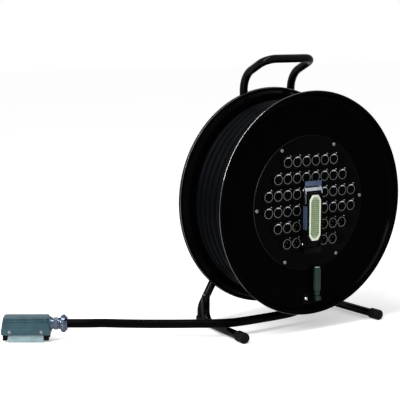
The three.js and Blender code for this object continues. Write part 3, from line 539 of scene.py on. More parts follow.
def sweep(path: Sequence[Vector], radius: float, sides: int = 28) -> Shell:
    """Draws a round bar along a path, with flat ends.

    Args:
        path: the points of the bar's middle line.
        radius: the bar's radius.
        sides: how many facets go round.

    Returns:
        A closed shell.
    """
    rings, side, last = [], Vector(), Vector()
    section = round_outline(radius, steps=sides)
    for index, point in enumerate(path):
        tangent = (path[min(index + 1, len(path) - 1)] - path[max(index - 1, 0)]).normalized()
        side = last.rotation_difference(tangent) @ side if index else tangent.orthogonal().normalized()
        side = (side - tangent * side.dot(tangent)).normalized()
        other, last = tangent.cross(side), tangent
        rings.append([point + side * across + other * up for across, up in section])
    return Shell.through(rings)


def bent_path(corners: Sequence[Vector], bends: Sequence[float], steps: int) -> list[Vector]:
    """Returns the points of straight runs joined by round bends.

    Args:
        corners: the ends and the corners between the runs.
        bends: the bend radius at each inner corner.
        steps: how many steps each bend has.
    """
    points = [corners[0]]
    for last, corner, following, radius in zip(corners, corners[1:], corners[2:], bends):
        before, after = (corner - last).normalized(), (following - corner).normalized()
        turn = before.angle(after)
        side = (after - before * math.cos(turn)).normalized()
        start = corner - before * radius * math.tan(turn / 2)
        for along, out in arc(radius, -QUARTER, turn - QUARTER, steps):
            points.append(start + before * along + side * (radius + out))
    return [*points, corners[-1]]


def smooth_route(points: Sequence[Vector], steps: int) -> list[Vector]:
    """Draws a smooth curve through given points.

    Args:
        points: the points of the route.
        steps: how many steps each stretch between two points has.

    Returns:
        The points of a centripetal curve.
    """
    route = [points[0] * 2 - points[1], *points, points[-1] * 2 - points[-2]]
    made = []
    for stretch in zip(route, route[1:], route[2:], route[3:]):
        gaps = [math.sqrt((b - a).length) for a, b in zip(stretch, stretch[1:])]
        moves = [(b - a) / gap for a, b, gap in zip(stretch, stretch[1:], gaps)]
        first = (moves[0] - (stretch[2] - stretch[0]) / (gaps[0] + gaps[1]) + moves[1]) * gaps[1]
        second = (moves[1] - (stretch[3] - stretch[1]) / (gaps[1] + gaps[2]) + moves[2]) * gaps[1]
        start, end = stretch[1], stretch[2]
        cubic = start * 2 - end * 2 + first + second
        square = end * 3 - start * 3 - first * 2 - second
        for step in range(steps):
            t = step / steps
            made.append(cubic * t**3 + square * t**2 + first * t + start)
    return [*made, points[-1]]


def cut_plate(outlines: Sequence[Sequence[Pair]], front: float, back: float, edge: float = 0.3) -> Shell:
    """Cuts a plate in X and Z out of sheet, with holes and eased edges.

    Args:
        outlines: the outer outline first, then the holes.
        front: the y of the face towards the operator.
        back: the y of the other face.
        edge: how far the edges are eased.

    Returns:
        A closed shell.
    """
    curve = bpy.data.curves.new("plate", "CURVE")
    curve.dimensions = "2D"
    curve.fill_mode = "BOTH"
    curve.extrude = (back - front) / 2 - edge
    curve.bevel_depth = edge
    curve.bevel_resolution = 1
    curve.offset = -edge
    for outline in outlines:
        spline = curve.splines.new("POLY")
        spline.points.add(len(outline) - 1)
        for point, (x, z) in zip(spline.points, outline):
            point.co = (x, z, 0.0, 1.0)
        spline.use_cyclic_u = True
    piece = bpy.data.objects.new("plate", curve)
    bpy.context.scene.collection.objects.link(piece)
    shell = Workshop.faces_of(piece).moved(place(y=(front + back) / 2) @ spin("X", 90))
    bpy.data.objects.remove(piece)
    bpy.data.curves.remove(curve)
    return shell


def plates(outlines: Sequence[Sequence[Pair]], inner: float, thick: float, edge: float = 0.35) -> Shell:
    """Cuts two like plates that stand across the drum, one at either side of its middle."""
    pair = Shell()
    for low, high in ((-inner - thick, -inner), (inner, inner + thick)):
        pair.add(cut_plate(outlines, low, high, edge).moved(ACROSS))
    return pair


def loft(sections: Sequence[tuple[float, Sequence[Pair]]]) -> Shell:
    """Joins outlines in X and Y, each given with its height, into a closed shell."""
    return Shell.through([[Vector((x, y, height)) for x, y in outline] for height, outline in sections])


def on_circle(radius: float, count: int, first: float = 0.0) -> list[Vector]:
    """Returns places round the Y axis."""
    return [Vector((x, 0.0, z)) for x, z in round_outline(radius, steps=count, first=first)]


class Workshop:
    """Makes objects out of shells, dresses them and hangs them on the frame's bodies."""

    def __init__(self, nodes: dict[str, bpy.types.Object]) -> None:
        """Builds the finishes and the geometry trees.

        Args:
            nodes: the loaded CAD nodes by name.
        """
        groups = SurfaceGroups()
        self.nodes = nodes
        self.finishes = {look: look.value.build(groups) for look in Look}
        self.copies = self._copies_tree()
        self.turns = self._turns_tree()

    def add(
        self, name: str, shell: Shell, look: Look, body: Body, slot: Slot, *nodes: str, sharp: float = SHARP
    ) -> bpy.types.Object:
        """Makes a piece and hangs it on a body.

        Args:
            name: the piece's name.
            shell: its faces, in millimetres about the axle and the front rim.
            look: its finish.
            body: the body that it moves with.
            slot: the record's slot for the piece; not used.
            nodes: the CAD nodes that it replaces.
            sharp: the angle in degrees above which an edge stays sharp.

        Returns:
            The new object, in metres in the model's frame.
        """
        piece = self._draft(name, shell)
        mesh = piece.data
        mesh.polygons.foreach_set("use_smooth", [True] * len(mesh.polygons))
        mesh.set_sharp_from_angle(angle=math.radians(sharp))
        mesh.materials.append(self.finishes[look])
        mesh.transform(HOME)
        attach(piece, body.value)
        if nodes:
            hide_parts(*nodes)
        log.info("%s: %d faces on %s", name, len(mesh.polygons), body.value)
        return piece

    def trim(self, piece: bpy.types.Object, look: Look, chosen: Callable[[Vector], bool]) -> None:
        """Gives some faces of a piece a second finish.

        Args:
            piece: the piece, in the model's frame.
            look: the second finish.
            chosen: tells from a face's middle, in millimetres about the axle, whether it takes that finish.
        """
        piece.data.materials.append(self.finishes[look])
        back = HOME.inverted()
        for face in piece.data.polygons:
            face.material_index = int(chosen(back @ face.center))

    def dress(self, look: Look, *names: str) -> None:
        """Gives CAD nodes that stay their finish."""
        for name in names:
            for slot in self.nodes[name].material_slots:
                slot.material = self.finishes[look]
            log.info("%s: CAD node kept", name)

    def repeat(self, shape: Shell, spots: Sequence[Vector], turned: bool = False) -> Shell:
        """Puts a copy of a shape at each spot.

        Args:
            shape: the shape, about its own centre.
            spots: where the copies go.
            turned: True where each copy faces away from the Y axis.

        Returns:
            The faces of all the copies.
        """
        copy = self._draft("copy", shape)
        shell = self.grow(self.copies, {"Copy": copy, "Turned": float(turned)}, spots)
        bpy.data.objects.remove(copy)
        return shell

    def grow(
        self, tree: bpy.types.NodeTree, values: dict[str, Any], points: Sequence[Vector] = (Vector(),)
    ) -> Shell:
        """Runs a geometry tree.

        Args:
            tree: the geometry tree.
            values: input name to value.
            points: the points that the tree starts from, if it needs any.

        Returns:
            The faces that the tree made, in millimetres.
        """
        worker = self._draft("worker", Shell(list(points)))
        modifier = worker.modifiers.new("grow", "NODES")
        modifier.node_group = tree
        for item in tree.interface.items_tree:
            if item.in_out == "INPUT" and item.name in values:
                modifier[item.identifier] = values[item.name]
        shell = self.faces_of(worker)
        bpy.data.objects.remove(worker)
        return shell

    @staticmethod
    def faces_of(piece: bpy.types.Object) -> Shell:
        """Returns the faces of an object as its modifiers leave it."""
        mesh = bpy.data.meshes.new_from_object(piece.evaluated_get(bpy.context.evaluated_depsgraph_get()))
        points = [vertex.co.copy() for vertex in mesh.vertices]
        shell = Shell(points, [tuple(face.vertices) for face in mesh.polygons])
        bpy.data.meshes.remove(mesh)
        return shell

    @staticmethod
    def _draft(name: str, shell: Shell) -> bpy.types.Object:
        """Makes an object in millimetres where it was drawn, with doubled points merged."""
        mesh = bpy.data.meshes.new(name)
        mesh.from_pydata(shell.points, [], shell.faces)
        working = bmesh.new()
        working.from_mesh(mesh)
        bmesh.ops.remove_doubles(working, verts=working.verts, dist=MERGE_WITHIN)
        bmesh.ops.dissolve_degenerate(working, edges=working.edges, dist=SLIVER)
        bmesh.ops.recalc_face_normals(working, faces=working.faces)
        working.to_mesh(mesh)
        working.free()
        made = bpy.data.objects.new(name, mesh)
        bpy.context.scene.collection.objects.link(made)
        return made

    def _start_tree(self, name: str, inputs: dict[str, Any]) -> tuple[TreeWriter, Any]:
        """Starts a geometry tree and returns its writer and its inputs' sockets."""
        ends = {"Geometry": GEOMETRY}
        write = TreeWriter.group("GeometryNodeTree", name, ends | inputs, ends)
        return write, write.node("NodeGroupInput").outputs

    def _copies_tree(self) -> bpy.types.NodeTree:
        """A copy on each point, turned to face away from the Y axis where Turned is 1."""
        write, given = self._start_tree("Copies on points", {"Copy": OBJECT, "Turned": 0.0})
        copy = write.node("GeometryNodeObjectInfo", {"Object": given["Copy"]}).outputs["Geometry"]
        spot = write.node("GeometryNodeInputPosition").outputs[0]
        spot = write.node("ShaderNodeSeparateXYZ", {0: spot}).outputs
        angle = write.product(write.math("ARCTAN2", spot["Z"], spot["X"]), given["Turned"], -1.0)
        values = {
            "Points": given["Geometry"],
            "Instance": copy,
            "Rotation": write.node("ShaderNodeCombineXYZ", {"Y": angle}).outputs[0],
        }
        placed = write.node("GeometryNodeInstanceOnPoints", values).outputs[0]
        real = write.node("GeometryNodeRealizeInstances", {"Geometry": placed}).outputs[0]
        write.node("NodeGroupOutput", {"Geometry": real})
        return write.tree

    def _turns_tree(self) -> bpy.types.NodeTree:
        """Cable wound about the Y axis: each turn steps over to the next in one part of its round."""
        inputs = {
            "Turns": 4.0,
            "Turn Radius": 200.0,
            "Cable Radius": 10.0,
            "Pitch": 20.6,
            "Step Overs": 4.0,
            "Start Depth": 0.0,
            "Start Angle": 0.0,
            "Steps": 64,
        }
        write, given = self._start_tree("Wound turns", inputs)
        values = {"Count": given["Steps"], "Offset": (0.0, 0.0, 0.0)}
        line = write.node("GeometryNodeMeshLine", values).outputs[0]
        index = write.node("GeometryNodeInputIndex").outputs[0]
        share = write.math("DIVIDE", index, write.math("SUBTRACT", given["Steps"], 1.0))
        wound = write.product(share, given["Turns"])
        over = write.ramp(write.math("FRACT", wound), *STEP_OVER, interpolation_type="SMOOTHSTEP")
        stepped = write.math("ADD", write.math("FLOOR", wound), over)
        stepped = write.math("MINIMUM", stepped, given["Step Overs"])
        depth = write.math("ADD", write.product(stepped, given["Pitch"]), given["Start Depth"])
        angle = write.math("ADD", write.product(wound, math.tau), given["Start Angle"])
        across = write.product(write.math("SINE", angle), given["Turn Radius"])
        up = write.product(write.math("COSINE", angle), given["Turn Radius"], -1.0)
        spot = write.node("ShaderNodeCombineXYZ", {"X": across, "Y": depth, "Z": up}).outputs[0]
        moved = write.node("GeometryNodeSetPosition", {"Geometry": line, "Position": spot}).outputs[0]
        course = write.node("GeometryNodeMeshToCurve", {"Mesh": moved}).outputs[0]
        values = {"Resolution": TURN_SIDES, "Radius": given["Cable Radius"]}
        section = write.node("GeometryNodeCurvePrimitiveCircle", values).outputs[0]
        values = {"Curve": course, "Profile Curve": section, "Fill Caps": True}
        write.node("NodeGroupOutput", {"Geometry": write.node("GeometryNodeCurveToMesh", values).outputs[0]})
        return write.tree


# The camera and the studio


def hang(name: str, data: bpy.types.ID, spot: Triple, heading: Sequence[float]) -> bpy.types.Object:
    """Hangs a camera or a lamp at a place, looking along a heading."""
    made = bpy.data.objects.new(name, data)
    made.location = spot
    made.rotation_euler = Vector(heading).to_track_quat("-Z", "Y").to_euler()
    bpy.context.scene.collection.objects.link(made)
    return made


@dataclass
class PhotoCamera:
    """The camera at the photograph's view."""

    spot: Triple = (-1.6636, -2.2014, 0.714)
    aim: Triple = (0.5357, 0.8306, -0.1521)
    lens: float = 108.0

    def build(self) -> None:
        """Places the camera and makes it the scene's."""
        data = bpy.data.cameras.new("camera")
        data.lens = self.lens
        bpy.context.scene.camera = hang("camera", data, self.spot, self.aim)
        log.info("camera: lens %.0f mm", self.lens)


@dataclass(frozen=True)
class Lamp:
    """One soft lamp: where it is, how wide and high and how strong it is, and what it aims at."""

    name: str
    spot: Triple
    width: float
    height: float
    watts: float
    aim: Triple = (0.0, 0.0, 0.3)

    def build(self) -> None:
        """Hangs the lamp."""
        data = bpy.data.lights.new(self.name, "AREA")
        data.shape = "RECTANGLE"
        data.size, data.size_y, data.energy = self.width, self.height, self.watts
        hang(self.name, data, self.spot, Vector(self.aim) - Vector(self.spot)).visible_camera = False


@dataclass
class Studio:
    """A pale floor, a white surround and soft lamps."""

    floor_size: float = 24.0
    floor_tones: Pair = (0.92, 0.9)
    floor_glow: float = 0.4
    ambient: float = 0.62
    lamps: tuple[Lamp, ...] = (
        Lamp("overhead_strip", (-1.15, -0.3, 1.65), 0.3, 2.2, 34.0),
        Lamp("left_key", (-2.5, -0.6, 1.5), 0.5, 0.8, 16.0),
    )

    def build(self) -> None:
        """Lays the floor, sets the world and hangs the lamps."""
        scene = bpy.context.scene
        scene.view_settings.view_transform = "Standard"
        scene.world = bpy.data.worlds.new("studio")
        write = TreeWriter.over(scene.world)
        path = write.node("ShaderNodeLightPath").outputs
        seen = write.math("ADD", path["Is Camera Ray"], path["Is Glossy Ray"])
        seen = write.math("ADD", seen, path["Is Transmission Ray"], clamp=True)
        soft, white = (
            write.node("ShaderNodeBackground", {"Color": WHITE, "Strength": strength}).outputs[0]
            for strength in (self.ambient, 1.0)
        )
        mixed = write.node("ShaderNodeMixShader", {0: seen, 1: soft, 2: white})
        write.node("ShaderNodeOutputWorld", {"Surface": mixed.outputs[0]})
        self._floor()
        for lamp in self.lamps:
            lamp.build()
        log.info("studio: %d lamps", len(self.lamps))

    def _floor(self) -> None:
        """Lays the pale floor, which the camera sees a little brighter than it is lit."""
        mesh = bpy.data.meshes.new("floor")
        corners = [(-1, -1), (1, -1), (1, 1), (-1, 1)]
        mesh.from_pydata([Vector((x, y, 0)) * self.floor_size / 2 for x, y in corners], [], [(0, 1, 2, 3)])
        floor = bpy.data.objects.new("floor", mesh)
        bpy.context.scene.collection.objects.link(floor)
        pale = bpy.data.materials.new("pale_floor")
        write = TreeWriter.over(pale)
        light, dark = ((tone, tone, tone, 1.0) for tone in self.floor_tones)
        values = {
            "Base Color": write.blend(write.noise(3.0), light, dark),
            "Roughness": 0.9,
            "Specular IOR Level": 0.1,
            "Emission Color": WHITE,
            "Emission Strength": write.product(
                write.node("ShaderNodeLightPath").outputs["Is Camera Ray"], self.floor_glow
            ),
        }
        shader = write.node("ShaderNodeBsdfPrincipled", values)
        write.node("ShaderNodeOutputMaterial", {"Surface": shader.outputs[0]})
        mesh.materials.append(pale)


# The free end of the cable


@dataclass
class FreeEnd:
    """The free run of the cable, with the gland and the hood that stand on its end.

    The free run is laid along the cable as it is seen: x, depth and height above the floor.
    """

    turn_depth: float = 54.1
    held_from: float = 113.0
    held_to: float = 38.0
    held_steps: int = 6
    free_run: tuple[Triple, ...] = (
        (102, 54.1, 98), (72, 54.1, 75), (44, 54.1, 55.5), (14, 54.1, 40.5), (-20, 54.1, 34),
        (-60, 54.1, 32.4), (-105, 54.1, 32.2), (-150, 54.6, 32.2), (-184, 57.5, 32.4), (-214, 68, 32.6),
        (-250, 92, 32), (-300, 126.5, 31), (-350, 156.5, 31.6), (-400, 179, 34.4), (-438, 192, 37.8),
        (-471, 202.5, 39.7), (-489.5, 212.9, 40), (-508, 224.7, 40),
    )
    run_steps: int = 9
    turn: float = 147.5
    height: float = 40.0
    nut_radius: float = 20.0
    nut_length: float = 15.5
    nut_ribs: int = 20
    neck_radius: float = 14.5
    neck_length: float = 21.5
    cable_in_hood: float = 6.0
    hood_length: float = 109.0
    hood_width: float = 43.0
    hood_height: float = 39.0
    hood_corner: float = 5.0
    top_length: float = 99.0
    top_width: float = 36.0
    groove: float = 2.8
    rim_height: float = 13.0
    collar_radius: float = 16.5
    peg_spacing: float = 70.0
    peg_radius: float = 3.0
    peg_reach: float = 2.5
    lug_length: float = 11.0
    lug_width: float = 9.0
    lug_height: float = 13.0
    skirt_height: float = 18.0
    skirt_length: float = 80.0
    skirt_width: float = 32.0
    wall: float = 3.0
    rib_pitch: float = 4.0

    def build(self, shop: Workshop) -> None:
        """Builds the gland and the hood, then the cable with them on it.

        Args:
            shop: the workshop that makes and hangs the pieces.
        """
        end = self.free_run[-1]
        self.stand = place(end[0], end[1], self.height - AXLE_HEIGHT) @ spin("Z", self.turn)
        self.along = self.stand @ spin("Z", -90)
        self.neck_start = self.nut_length + FIT_GAP * 2
        self.hood_start = self.neck_start + self.neck_length + FIT_GAP
        self.middle = place(self.hood_start + self.hood_length / 2)
        self.rim_level = self.skirt_height - self.height
        parts = (self._nut, self._neck, self._hood, self._seal, self._skirt)
        self._cable(shop, [part(shop) for part in parts])

    def _cable(self, shop: Workshop, pieces: list[bpy.types.Object]) -> None:
        held = []
        for step in range(self.held_steps + 1):
            angle = math.radians(self.held_from + (self.held_to - self.held_from) * step / self.held_steps)
            across, up = math.sin(angle) * TURN_RADIUS, -math.cos(angle) * TURN_RADIUS
            held.append(Vector((across, self.turn_depth, up)))
        laid = [Vector((x, y, height - AXLE_HEIGHT)) for x, y, height in self.free_run]
        route = smooth_route([*held, *laid], self.run_steps)
        inside = (self.nut_length, self.neck_start + self.neck_length, self.hood_start + self.cable_in_hood)
        route += [self.stand @ Vector((x, 0.0, 0.0)) for x in inside]
        shell = sweep(route, CABLE_RADIUS)
        cable = shop.add("cable_jacket", shell, Look.TAIL, Body.FRAME, Slot.JACKET, "cable_tail")

    def _nut(self, shop: Workshop) -> bpy.types.Object:
        """Turns the ribbed gland nut, flared from the cable."""
        radius, start, end = self.nut_radius, FIT_GAP, FIT_GAP + self.nut_length
        bore = CABLE_RADIUS + FIT_GAP
        flare = [(bore, start), (bore + 0.9, start), (radius * 0.72, start + 0.8),
                 (radius * 0.8, start + 3.4), (radius * 0.95, start + 6.2), (radius * 0.96, end - 2.6),
                 (radius * 0.9, end - 1.6), (radius * 0.88, end), (bore, end)]
        rib = cut_plate([rounded_outline(radius * 0.3, 2.2, 0.9, 3)], start + 6.0, end - 2.8, 0.4)
        shell = lathe(flare).add(shop.repeat(rib, on_circle(radius * 0.85, self.nut_ribs), turned=True))
        shell = shell.moved(self.along)
        return shop.add("gland_nut_turned", shell, Look.GLAND, Body.FRAME, Slot.CHROME, "gland_nut")

    def _neck(self, shop: Workshop) -> bpy.types.Object:
        """Turns the gland's body: a thread, a hexagon and the collar against the hood."""
        radius, start = self.neck_radius, self.neck_start
        end, bore = start + self.neck_length, CABLE_RADIUS + FIT_GAP
        profile = [(bore, start), *threaded(radius * 0.93, start, start + 5.5, 1.5),
                   (radius * 0.84, start + 5.7), (radius * 0.97, start + 6.1), (radius, start + 6.9),
                   (radius, start + 13.9), (radius * 0.97, start + 14.7), (radius * 0.86, start + 15.1),
                   (radius * 0.86, end - 3.0), (radius * 0.98, end - 2.6), (radius * 0.98, end), (bore, end)]
        hexagon = [index for index, point in enumerate(profile) if point[0] == radius]
        shell = lathe(profile, reach=on_rows(hexagon, hexed)).moved(self.along)
        return shop.add("gland_body_turned", shell, Look.GLAND, Body.FRAME, Slot.CHROME, "gland_body")

    def _hood(self, shop: Workshop) -> bpy.types.Object:
        """Casts the hood: a wider rim, a crowned top with two grooves, a cable entry and four pegs."""
        low, step, deep = self.rim_level, self.rim_level + self.rim_height, self.groove
        long, wide, tall, thin = self.hood_length, self.hood_width, self.top_length, self.top_width
        levels = [(low, long - 1.0, wide - 1.0), (low + 0.5, long, wide), (step - 1.5, long, wide)]
        above = ((0.0, 1.2), (0.8, 1.6), (14.4, 0.0), (15.0, deep), (17.0, deep), (17.6, 0.0), (19.6, 0.0),
                 (20.2, deep), (22.2, deep), (22.8, 0.0), (24.8, 0.0), (25.5, 0.8), (25.8, 1.6), (26.0, 2.8))
        for rise, less in above:
            taper = 1.0 - rise / (self.hood_height - self.rim_height)
            x, y = tall + (long - tall) * taper, thin + (wide - thin) * taper
            levels.append((step + rise, x - less, y - less))
        corner = self.hood_corner
        shell = loft([(z, rounded_outline(x, y, corner - (long - x) * 0.16)) for z, x, y in levels])
        shell = shell.moved(self.middle)
        start, radius = self.hood_start, self.collar_radius
        collar = [(0.0, start), (radius - 0.5, start), (radius, start + 0.6), (radius, start + 7.0),
                  (0.0, start + 7.0)]
        shell.add(lathe(collar, 40).moved(spin("Z", -90)))
        radius, face, out = self.peg_radius, wide / 2 - 1.0, wide / 2 + self.peg_reach
        peg = [(0.0, face), (radius * 1.25, face), (radius * 1.25, face + 1.6), (radius, face + 1.9),
               (radius, out - 0.5), (radius - 0.5, out), (0.0, out)]
        for side, end in CORNERS:
            spot = self.middle @ place(end * self.peg_spacing / 2, 0.0, step - radius * 2)
            shell.add(lathe(peg, 20).moved(spot @ spin("Z", 90 - side * 90)))
        shell = shell.moved(self.stand)
        hood = shop.add("hood_casting", shell, Look.HOOD, Body.FRAME, Slot.HOOD, "hood_shell")
        back = self.stand.inverted()
        shop.trim(hood, Look.DULL_NICKEL, lambda spot: abs((back @ spot).y) > wide / 2 + FIT_GAP)
        return hood

    def _seal(self, shop: Workshop) -> bpy.types.Object:
        """Moulds the black seal's four lugs under the rim."""
        length, width = (size - self.wall * 2 - FIT_GAP * 2 for size in (self.hood_length, self.hood_width))
        low, high = self.rim_level - self.lug_height, self.rim_level - 0.1
        levels = [(low, 2.0), (low + 1.0, 0.6), (low + 2.0, 0.0), (high, 0.0)]
        shell = Shell()
        for end, side in CORNERS:
            spot = (end * (length - self.lug_length) / 2, side * (width - self.lug_width) / 2)
            sizes = [(z, self.lug_length - less, self.lug_width - less) for z, less in levels]
            shell.add(loft([(z, rounded_outline(long, wide, 3.0, 4, spot)) for z, long, wide in sizes]))
        shell = shell.moved(self.stand @ self.middle)
        return shop.add("hood_lugs", shell, Look.RUBBER, Body.FRAME, Slot.RUBBER, "hood_seal")

    def _skirt(self, shop: Workshop) -> bpy.types.Object:
        """Moulds the pale skirt of the contact insert with its upright ribs."""
        low, high = -self.height, self.rim_level - 0.2
        long, wide = self.skirt_length, self.skirt_width
        levels = [(low, 2.4), (low + 0.6, 1.6), (low + 4.0, 1.2), (high, 1.2)]
        shell = loft([(z, rounded_outline(long - less, wide - less, 1.4, 3)) for z, less in levels])
        rib = loft([(z, rounded_outline(1.6, 1.2, 0.5, 2)) for z in (low + 3.0, high - 1.5)])
        columns = int((long - 12.0) / self.rib_pitch)
        places = product([(column - (columns - 1) / 2) * self.rib_pitch for column in range(columns)], SIDES)
        shell.add(shop.repeat(rib, [Vector((x, side * (wide / 2 - 0.65), 0.0)) for x, side in places]))
        shell = shell.moved(self.stand @ self.middle)
        return shop.add("hood_skirt", shell, Look.SKIRT, Body.FRAME, Slot.INSERT, "hood_insert")


# The frame


@dataclass
class TubeFrame:
    """The bent tube, its feet, the cross plate, the axle and the brake."""

    tube_radius: float = 9.5
    tube_sides: int = 32
    bend_steps: int = 14
    depth: float = 181.5
    upright_spread: float = 68.0
    handle_depth: float = 93.5
    handle_height: float = 323.0
    lean_start: float = 281.965
    handle_corner: float = 28.0
    handle_bend: float = 52.0
    bend: float = 38.0
    leg_spread: float = 185.0
    hip: float = -49.0
    knee: float = -250.0
    foot_spread: float = 194.0
    foot_front: float = -12.0
    foot_rear: float = 162.2
    foot_top: float = -218.0
    foot_bend: float = 26.0
    foot_seam: range = range(-254, -234, 4)
    cap_radius: float = 12.3
    cap_floor: float = 4.0
    front_cap: float = 30.0
    rear_cap: float = 22.0
    plate_front: float = 167.7
    plate_back: float = 171.7
    plate_top: float = 52.0
    plate_bottom: float = 128.0
    plate_margin: float = 4.0
    plate_lip: float = 12.0
    plate_seam: range = range(-10, 11, 4)
    axle_start: float = 57.8
    axle_step: float = 74.4
    axle_collar_start: float = 157.3
    axle_collar: float = 17.0
    axle_radius: float = 10.0
    front_thread: float = 6.0
    rear_thread: float = 8.0
    washer_radius: float = 19.0
    washer_thickness: float = 3.0
    nut_across: float = 24.0
    nut_thickness: float = 12.0
    brake_drop: float = 102.0
    brake_thread: float = 6.0
    brake_start: float = 158.05
    boss_radius: float = 11.0
    boss_length: float = 13.7
    knob_radius: float = 21.0
    knob_front: float = 188.05
    knob_thickness: float = 16.0
    knob_lobes: int = 5
    lobe_depth: float = 0.0715

    def build(self, shop: Workshop) -> None:
        """Builds every piece of the frame.

        Args:
            shop: the workshop that makes and hangs the pieces.
        """
        self.seat = self.plate_back + FIT_GAP
        for part in (self._tubes, self._caps, self._plate, self._axle, self._brake):
            part(shop)

    def _tubes(self, shop: Workshop) -> None:
        """Bends the frame tube and the foot tubes."""
        half = [
            (self.leg_spread, self.depth, -AXLE_HEIGHT + self.cap_floor + FIT_GAP),
            (self.leg_spread, self.depth, self.knee),
            (self.upright_spread, self.depth, self.hip),
            (self.upright_spread, self.depth, self.lean_start),
            (self.upright_spread, self.handle_depth, self.handle_height),
        ]
        corners = [Vector((-x, y, z)) for x, y, z in half] + [Vector(point) for point in reversed(half)]
        bends = [self.bend, self.bend, self.handle_bend, self.handle_corner]
        path = bent_path(corners, bends + bends[::-1], self.bend_steps)
        loop = sweep(path, self.tube_radius, self.tube_sides)
        shop.add("bent_frame_tube", loop, Look.TUBE, Body.FRAME, Slot.PAINT, "frame_loop")
        level = -AXLE_HEIGHT + self.cap_radius
        for label, side in LEFT_RIGHT:
            corners = [
                Vector((side * self.foot_spread, self.foot_front + self.cap_floor + FIT_GAP, level)),
                Vector((side * self.leg_spread, self.foot_rear, level)),
                Vector((side * self.leg_spread, self.foot_rear, self.foot_top)),
            ]
            path = bent_path(corners, [self.foot_bend], self.bend_steps)
            shell = sweep(path, self.tube_radius, self.tube_sides)
            for flank in SIDES:
                x, y = side * self.leg_spread + flank * 5.6, (self.depth + self.foot_rear) / 2
                shell.add(sweep([Vector((x, y, z)) for z in self.foot_seam], 2.6, 12))
            shop.add(f"{label}_foot_bar", shell, Look.TUBE, Body.FRAME, Slot.PAINT, f"{label}_foot_tube")

    def _cap(self, length: float) -> Shell:
        """Moulds a rubber cap about Y, with its closed end at y = 0."""
        wide, bore = self.cap_radius, self.tube_radius + FIT_GAP * 2
        profile = [(0.0, 0.0), (wide - 3.0, 0.0), (wide, 3.0)]
        for groove in (length * 0.42, length * 0.56):
            profile += [(wide, groove), (wide - 0.7, groove + 0.5), (wide - 0.7, groove + 1.6),
                        (wide, groove + 2.1)]
        profile += [(wide, length - 0.8), (wide - 0.8, length), (bore, length), (bore, self.cap_floor),
                    (0.0, self.cap_floor)]
        return lathe(rounded(profile, {1: 1.6, 2: 1.6}), 40)

    def _caps(self, shop: Workshop) -> None:
        """Puts the four rubber caps on the ends."""
        aside, along = self.foot_spread - self.leg_spread, self.foot_rear - self.foot_front
        heading = math.degrees(math.atan2(aside, along))
        for label, side in LEFT_RIGHT:
            front = place(side * self.foot_spread, self.foot_front, self.cap_radius - AXLE_HEIGHT)
            front = front @ spin("Z", side * heading)
            rear = place(side * self.leg_spread, self.depth, -AXLE_HEIGHT) @ spin("X", 90)
            for end, length, spot in (("front", self.front_cap, front), ("rear", self.rear_cap, rear)):
                cap = self._cap(length).moved(spot)
                node = f"{label}_{end}_foot_cap"
                shop.add(f"{label}_{end}_cap", cap, Look.RUBBER, Body.FRAME, Slot.RUBBER, node)

    def _plate(self, shop: Workshop) -> None:
        """Cuts the cross plate and folds its lips."""
        width = (self.upright_spread + self.tube_radius + self.plate_margin) * 2
        height, middle = self.plate_top + self.plate_bottom, (self.plate_top - self.plate_bottom) / 2
        outlines = [
            rounded_outline(width, height, 10.0, 8, (0.0, middle)),
            round_outline(self.rear_thread + FIT_GAP),
            round_outline(self.brake_thread + FIT_GAP, (0.0, -self.brake_drop)),
        ]
        shell = cut_plate(outlines, self.plate_front, self.plate_back, 0.5)
        half = self.upright_spread - self.tube_radius - self.plate_margin
        sheet = self.plate_back - self.plate_front
        for low in (self.plate_top - sheet, -self.plate_bottom):
            lip = cut_plate([rounded_outline(half * 2, self.plate_lip + 1.0, 3.0, 4)], low, low + sheet, 0.5)
            shell.add(lip.moved(place(y=self.plate_back + self.plate_lip / 2 - 0.5) @ LYING))
        for side, z in product(SIDES, (self.plate_top - 14.0, 14.0 - self.plate_bottom)):
            x, y = side * (self.upright_spread - 6.5), self.plate_back + 1.2
            shell.add(sweep([Vector((x, y, z + step)) for step in self.plate_seam], 2.4, 12))
        shop.add("cross_plate", shell, Look.TUBE, Body.FRAME, Slot.PAINT, "axle_plate")

    def _axle(self, shop: Workshop) -> None:
        """Turns the axle with its threaded ends, washers and nuts."""
        wide, collar, thread, small = self.axle_radius, self.axle_collar, self.rear_thread, self.front_thread
        start, step, front = self.axle_start, self.axle_step, self.plate_front - FIT_GAP
        nut = self.seat + self.washer_thickness + FIT_GAP
        end = nut + self.nut_thickness + 4.0
        axle = [(0.0, start), (small - 1.0, start), *threaded(small, start + 0.8, step - FIT_GAP, 1.2),
                (small, step), (wide, step), (wide, self.axle_collar_start), (collar, self.axle_collar_start),
                (collar, front), (thread, front), *threaded(thread, self.plate_front, end - 1.2, 1.4),
                (thread - 1.4, end), (0.0, end)]
        shop.add("turned_axle", lathe(axle, 40), Look.ZINC, Body.FRAME, Slot.STEEL, "axle")
        bore, wide, seat = thread + FIT_GAP, self.washer_radius, self.seat
        back = seat + self.washer_thickness
        washer = [(bore, seat), (wide - 0.4, seat), (wide, seat + 0.4), (wide, back - 0.4),
                  (wide - 0.4, back), (bore, back)]
        shop.add("rear_washer", lathe(washer), Look.ZINC, Body.FRAME, Slot.STEEL, "axle_washer")
        half, back = self.nut_across / 2, nut + self.nut_thickness
        corner, round_end, ease = half / math.cos(SIXTH / 2), half * 0.96, half * 0.12
        shape = [(bore, back), (bore, nut), (round_end, nut), (corner, nut + ease), (corner, back - ease),
                 (round_end, back)]
        shell = lathe(shape, reach=on_rows((3, 4), lambda angle: hexed(angle + SIXTH / 2)))
        shop.add("rear_nut", shell, Look.ZINC, Body.FRAME, Slot.STEEL, "axle_nut")
        shop.dress(Look.ZINC, "end_washer", "end_nut")

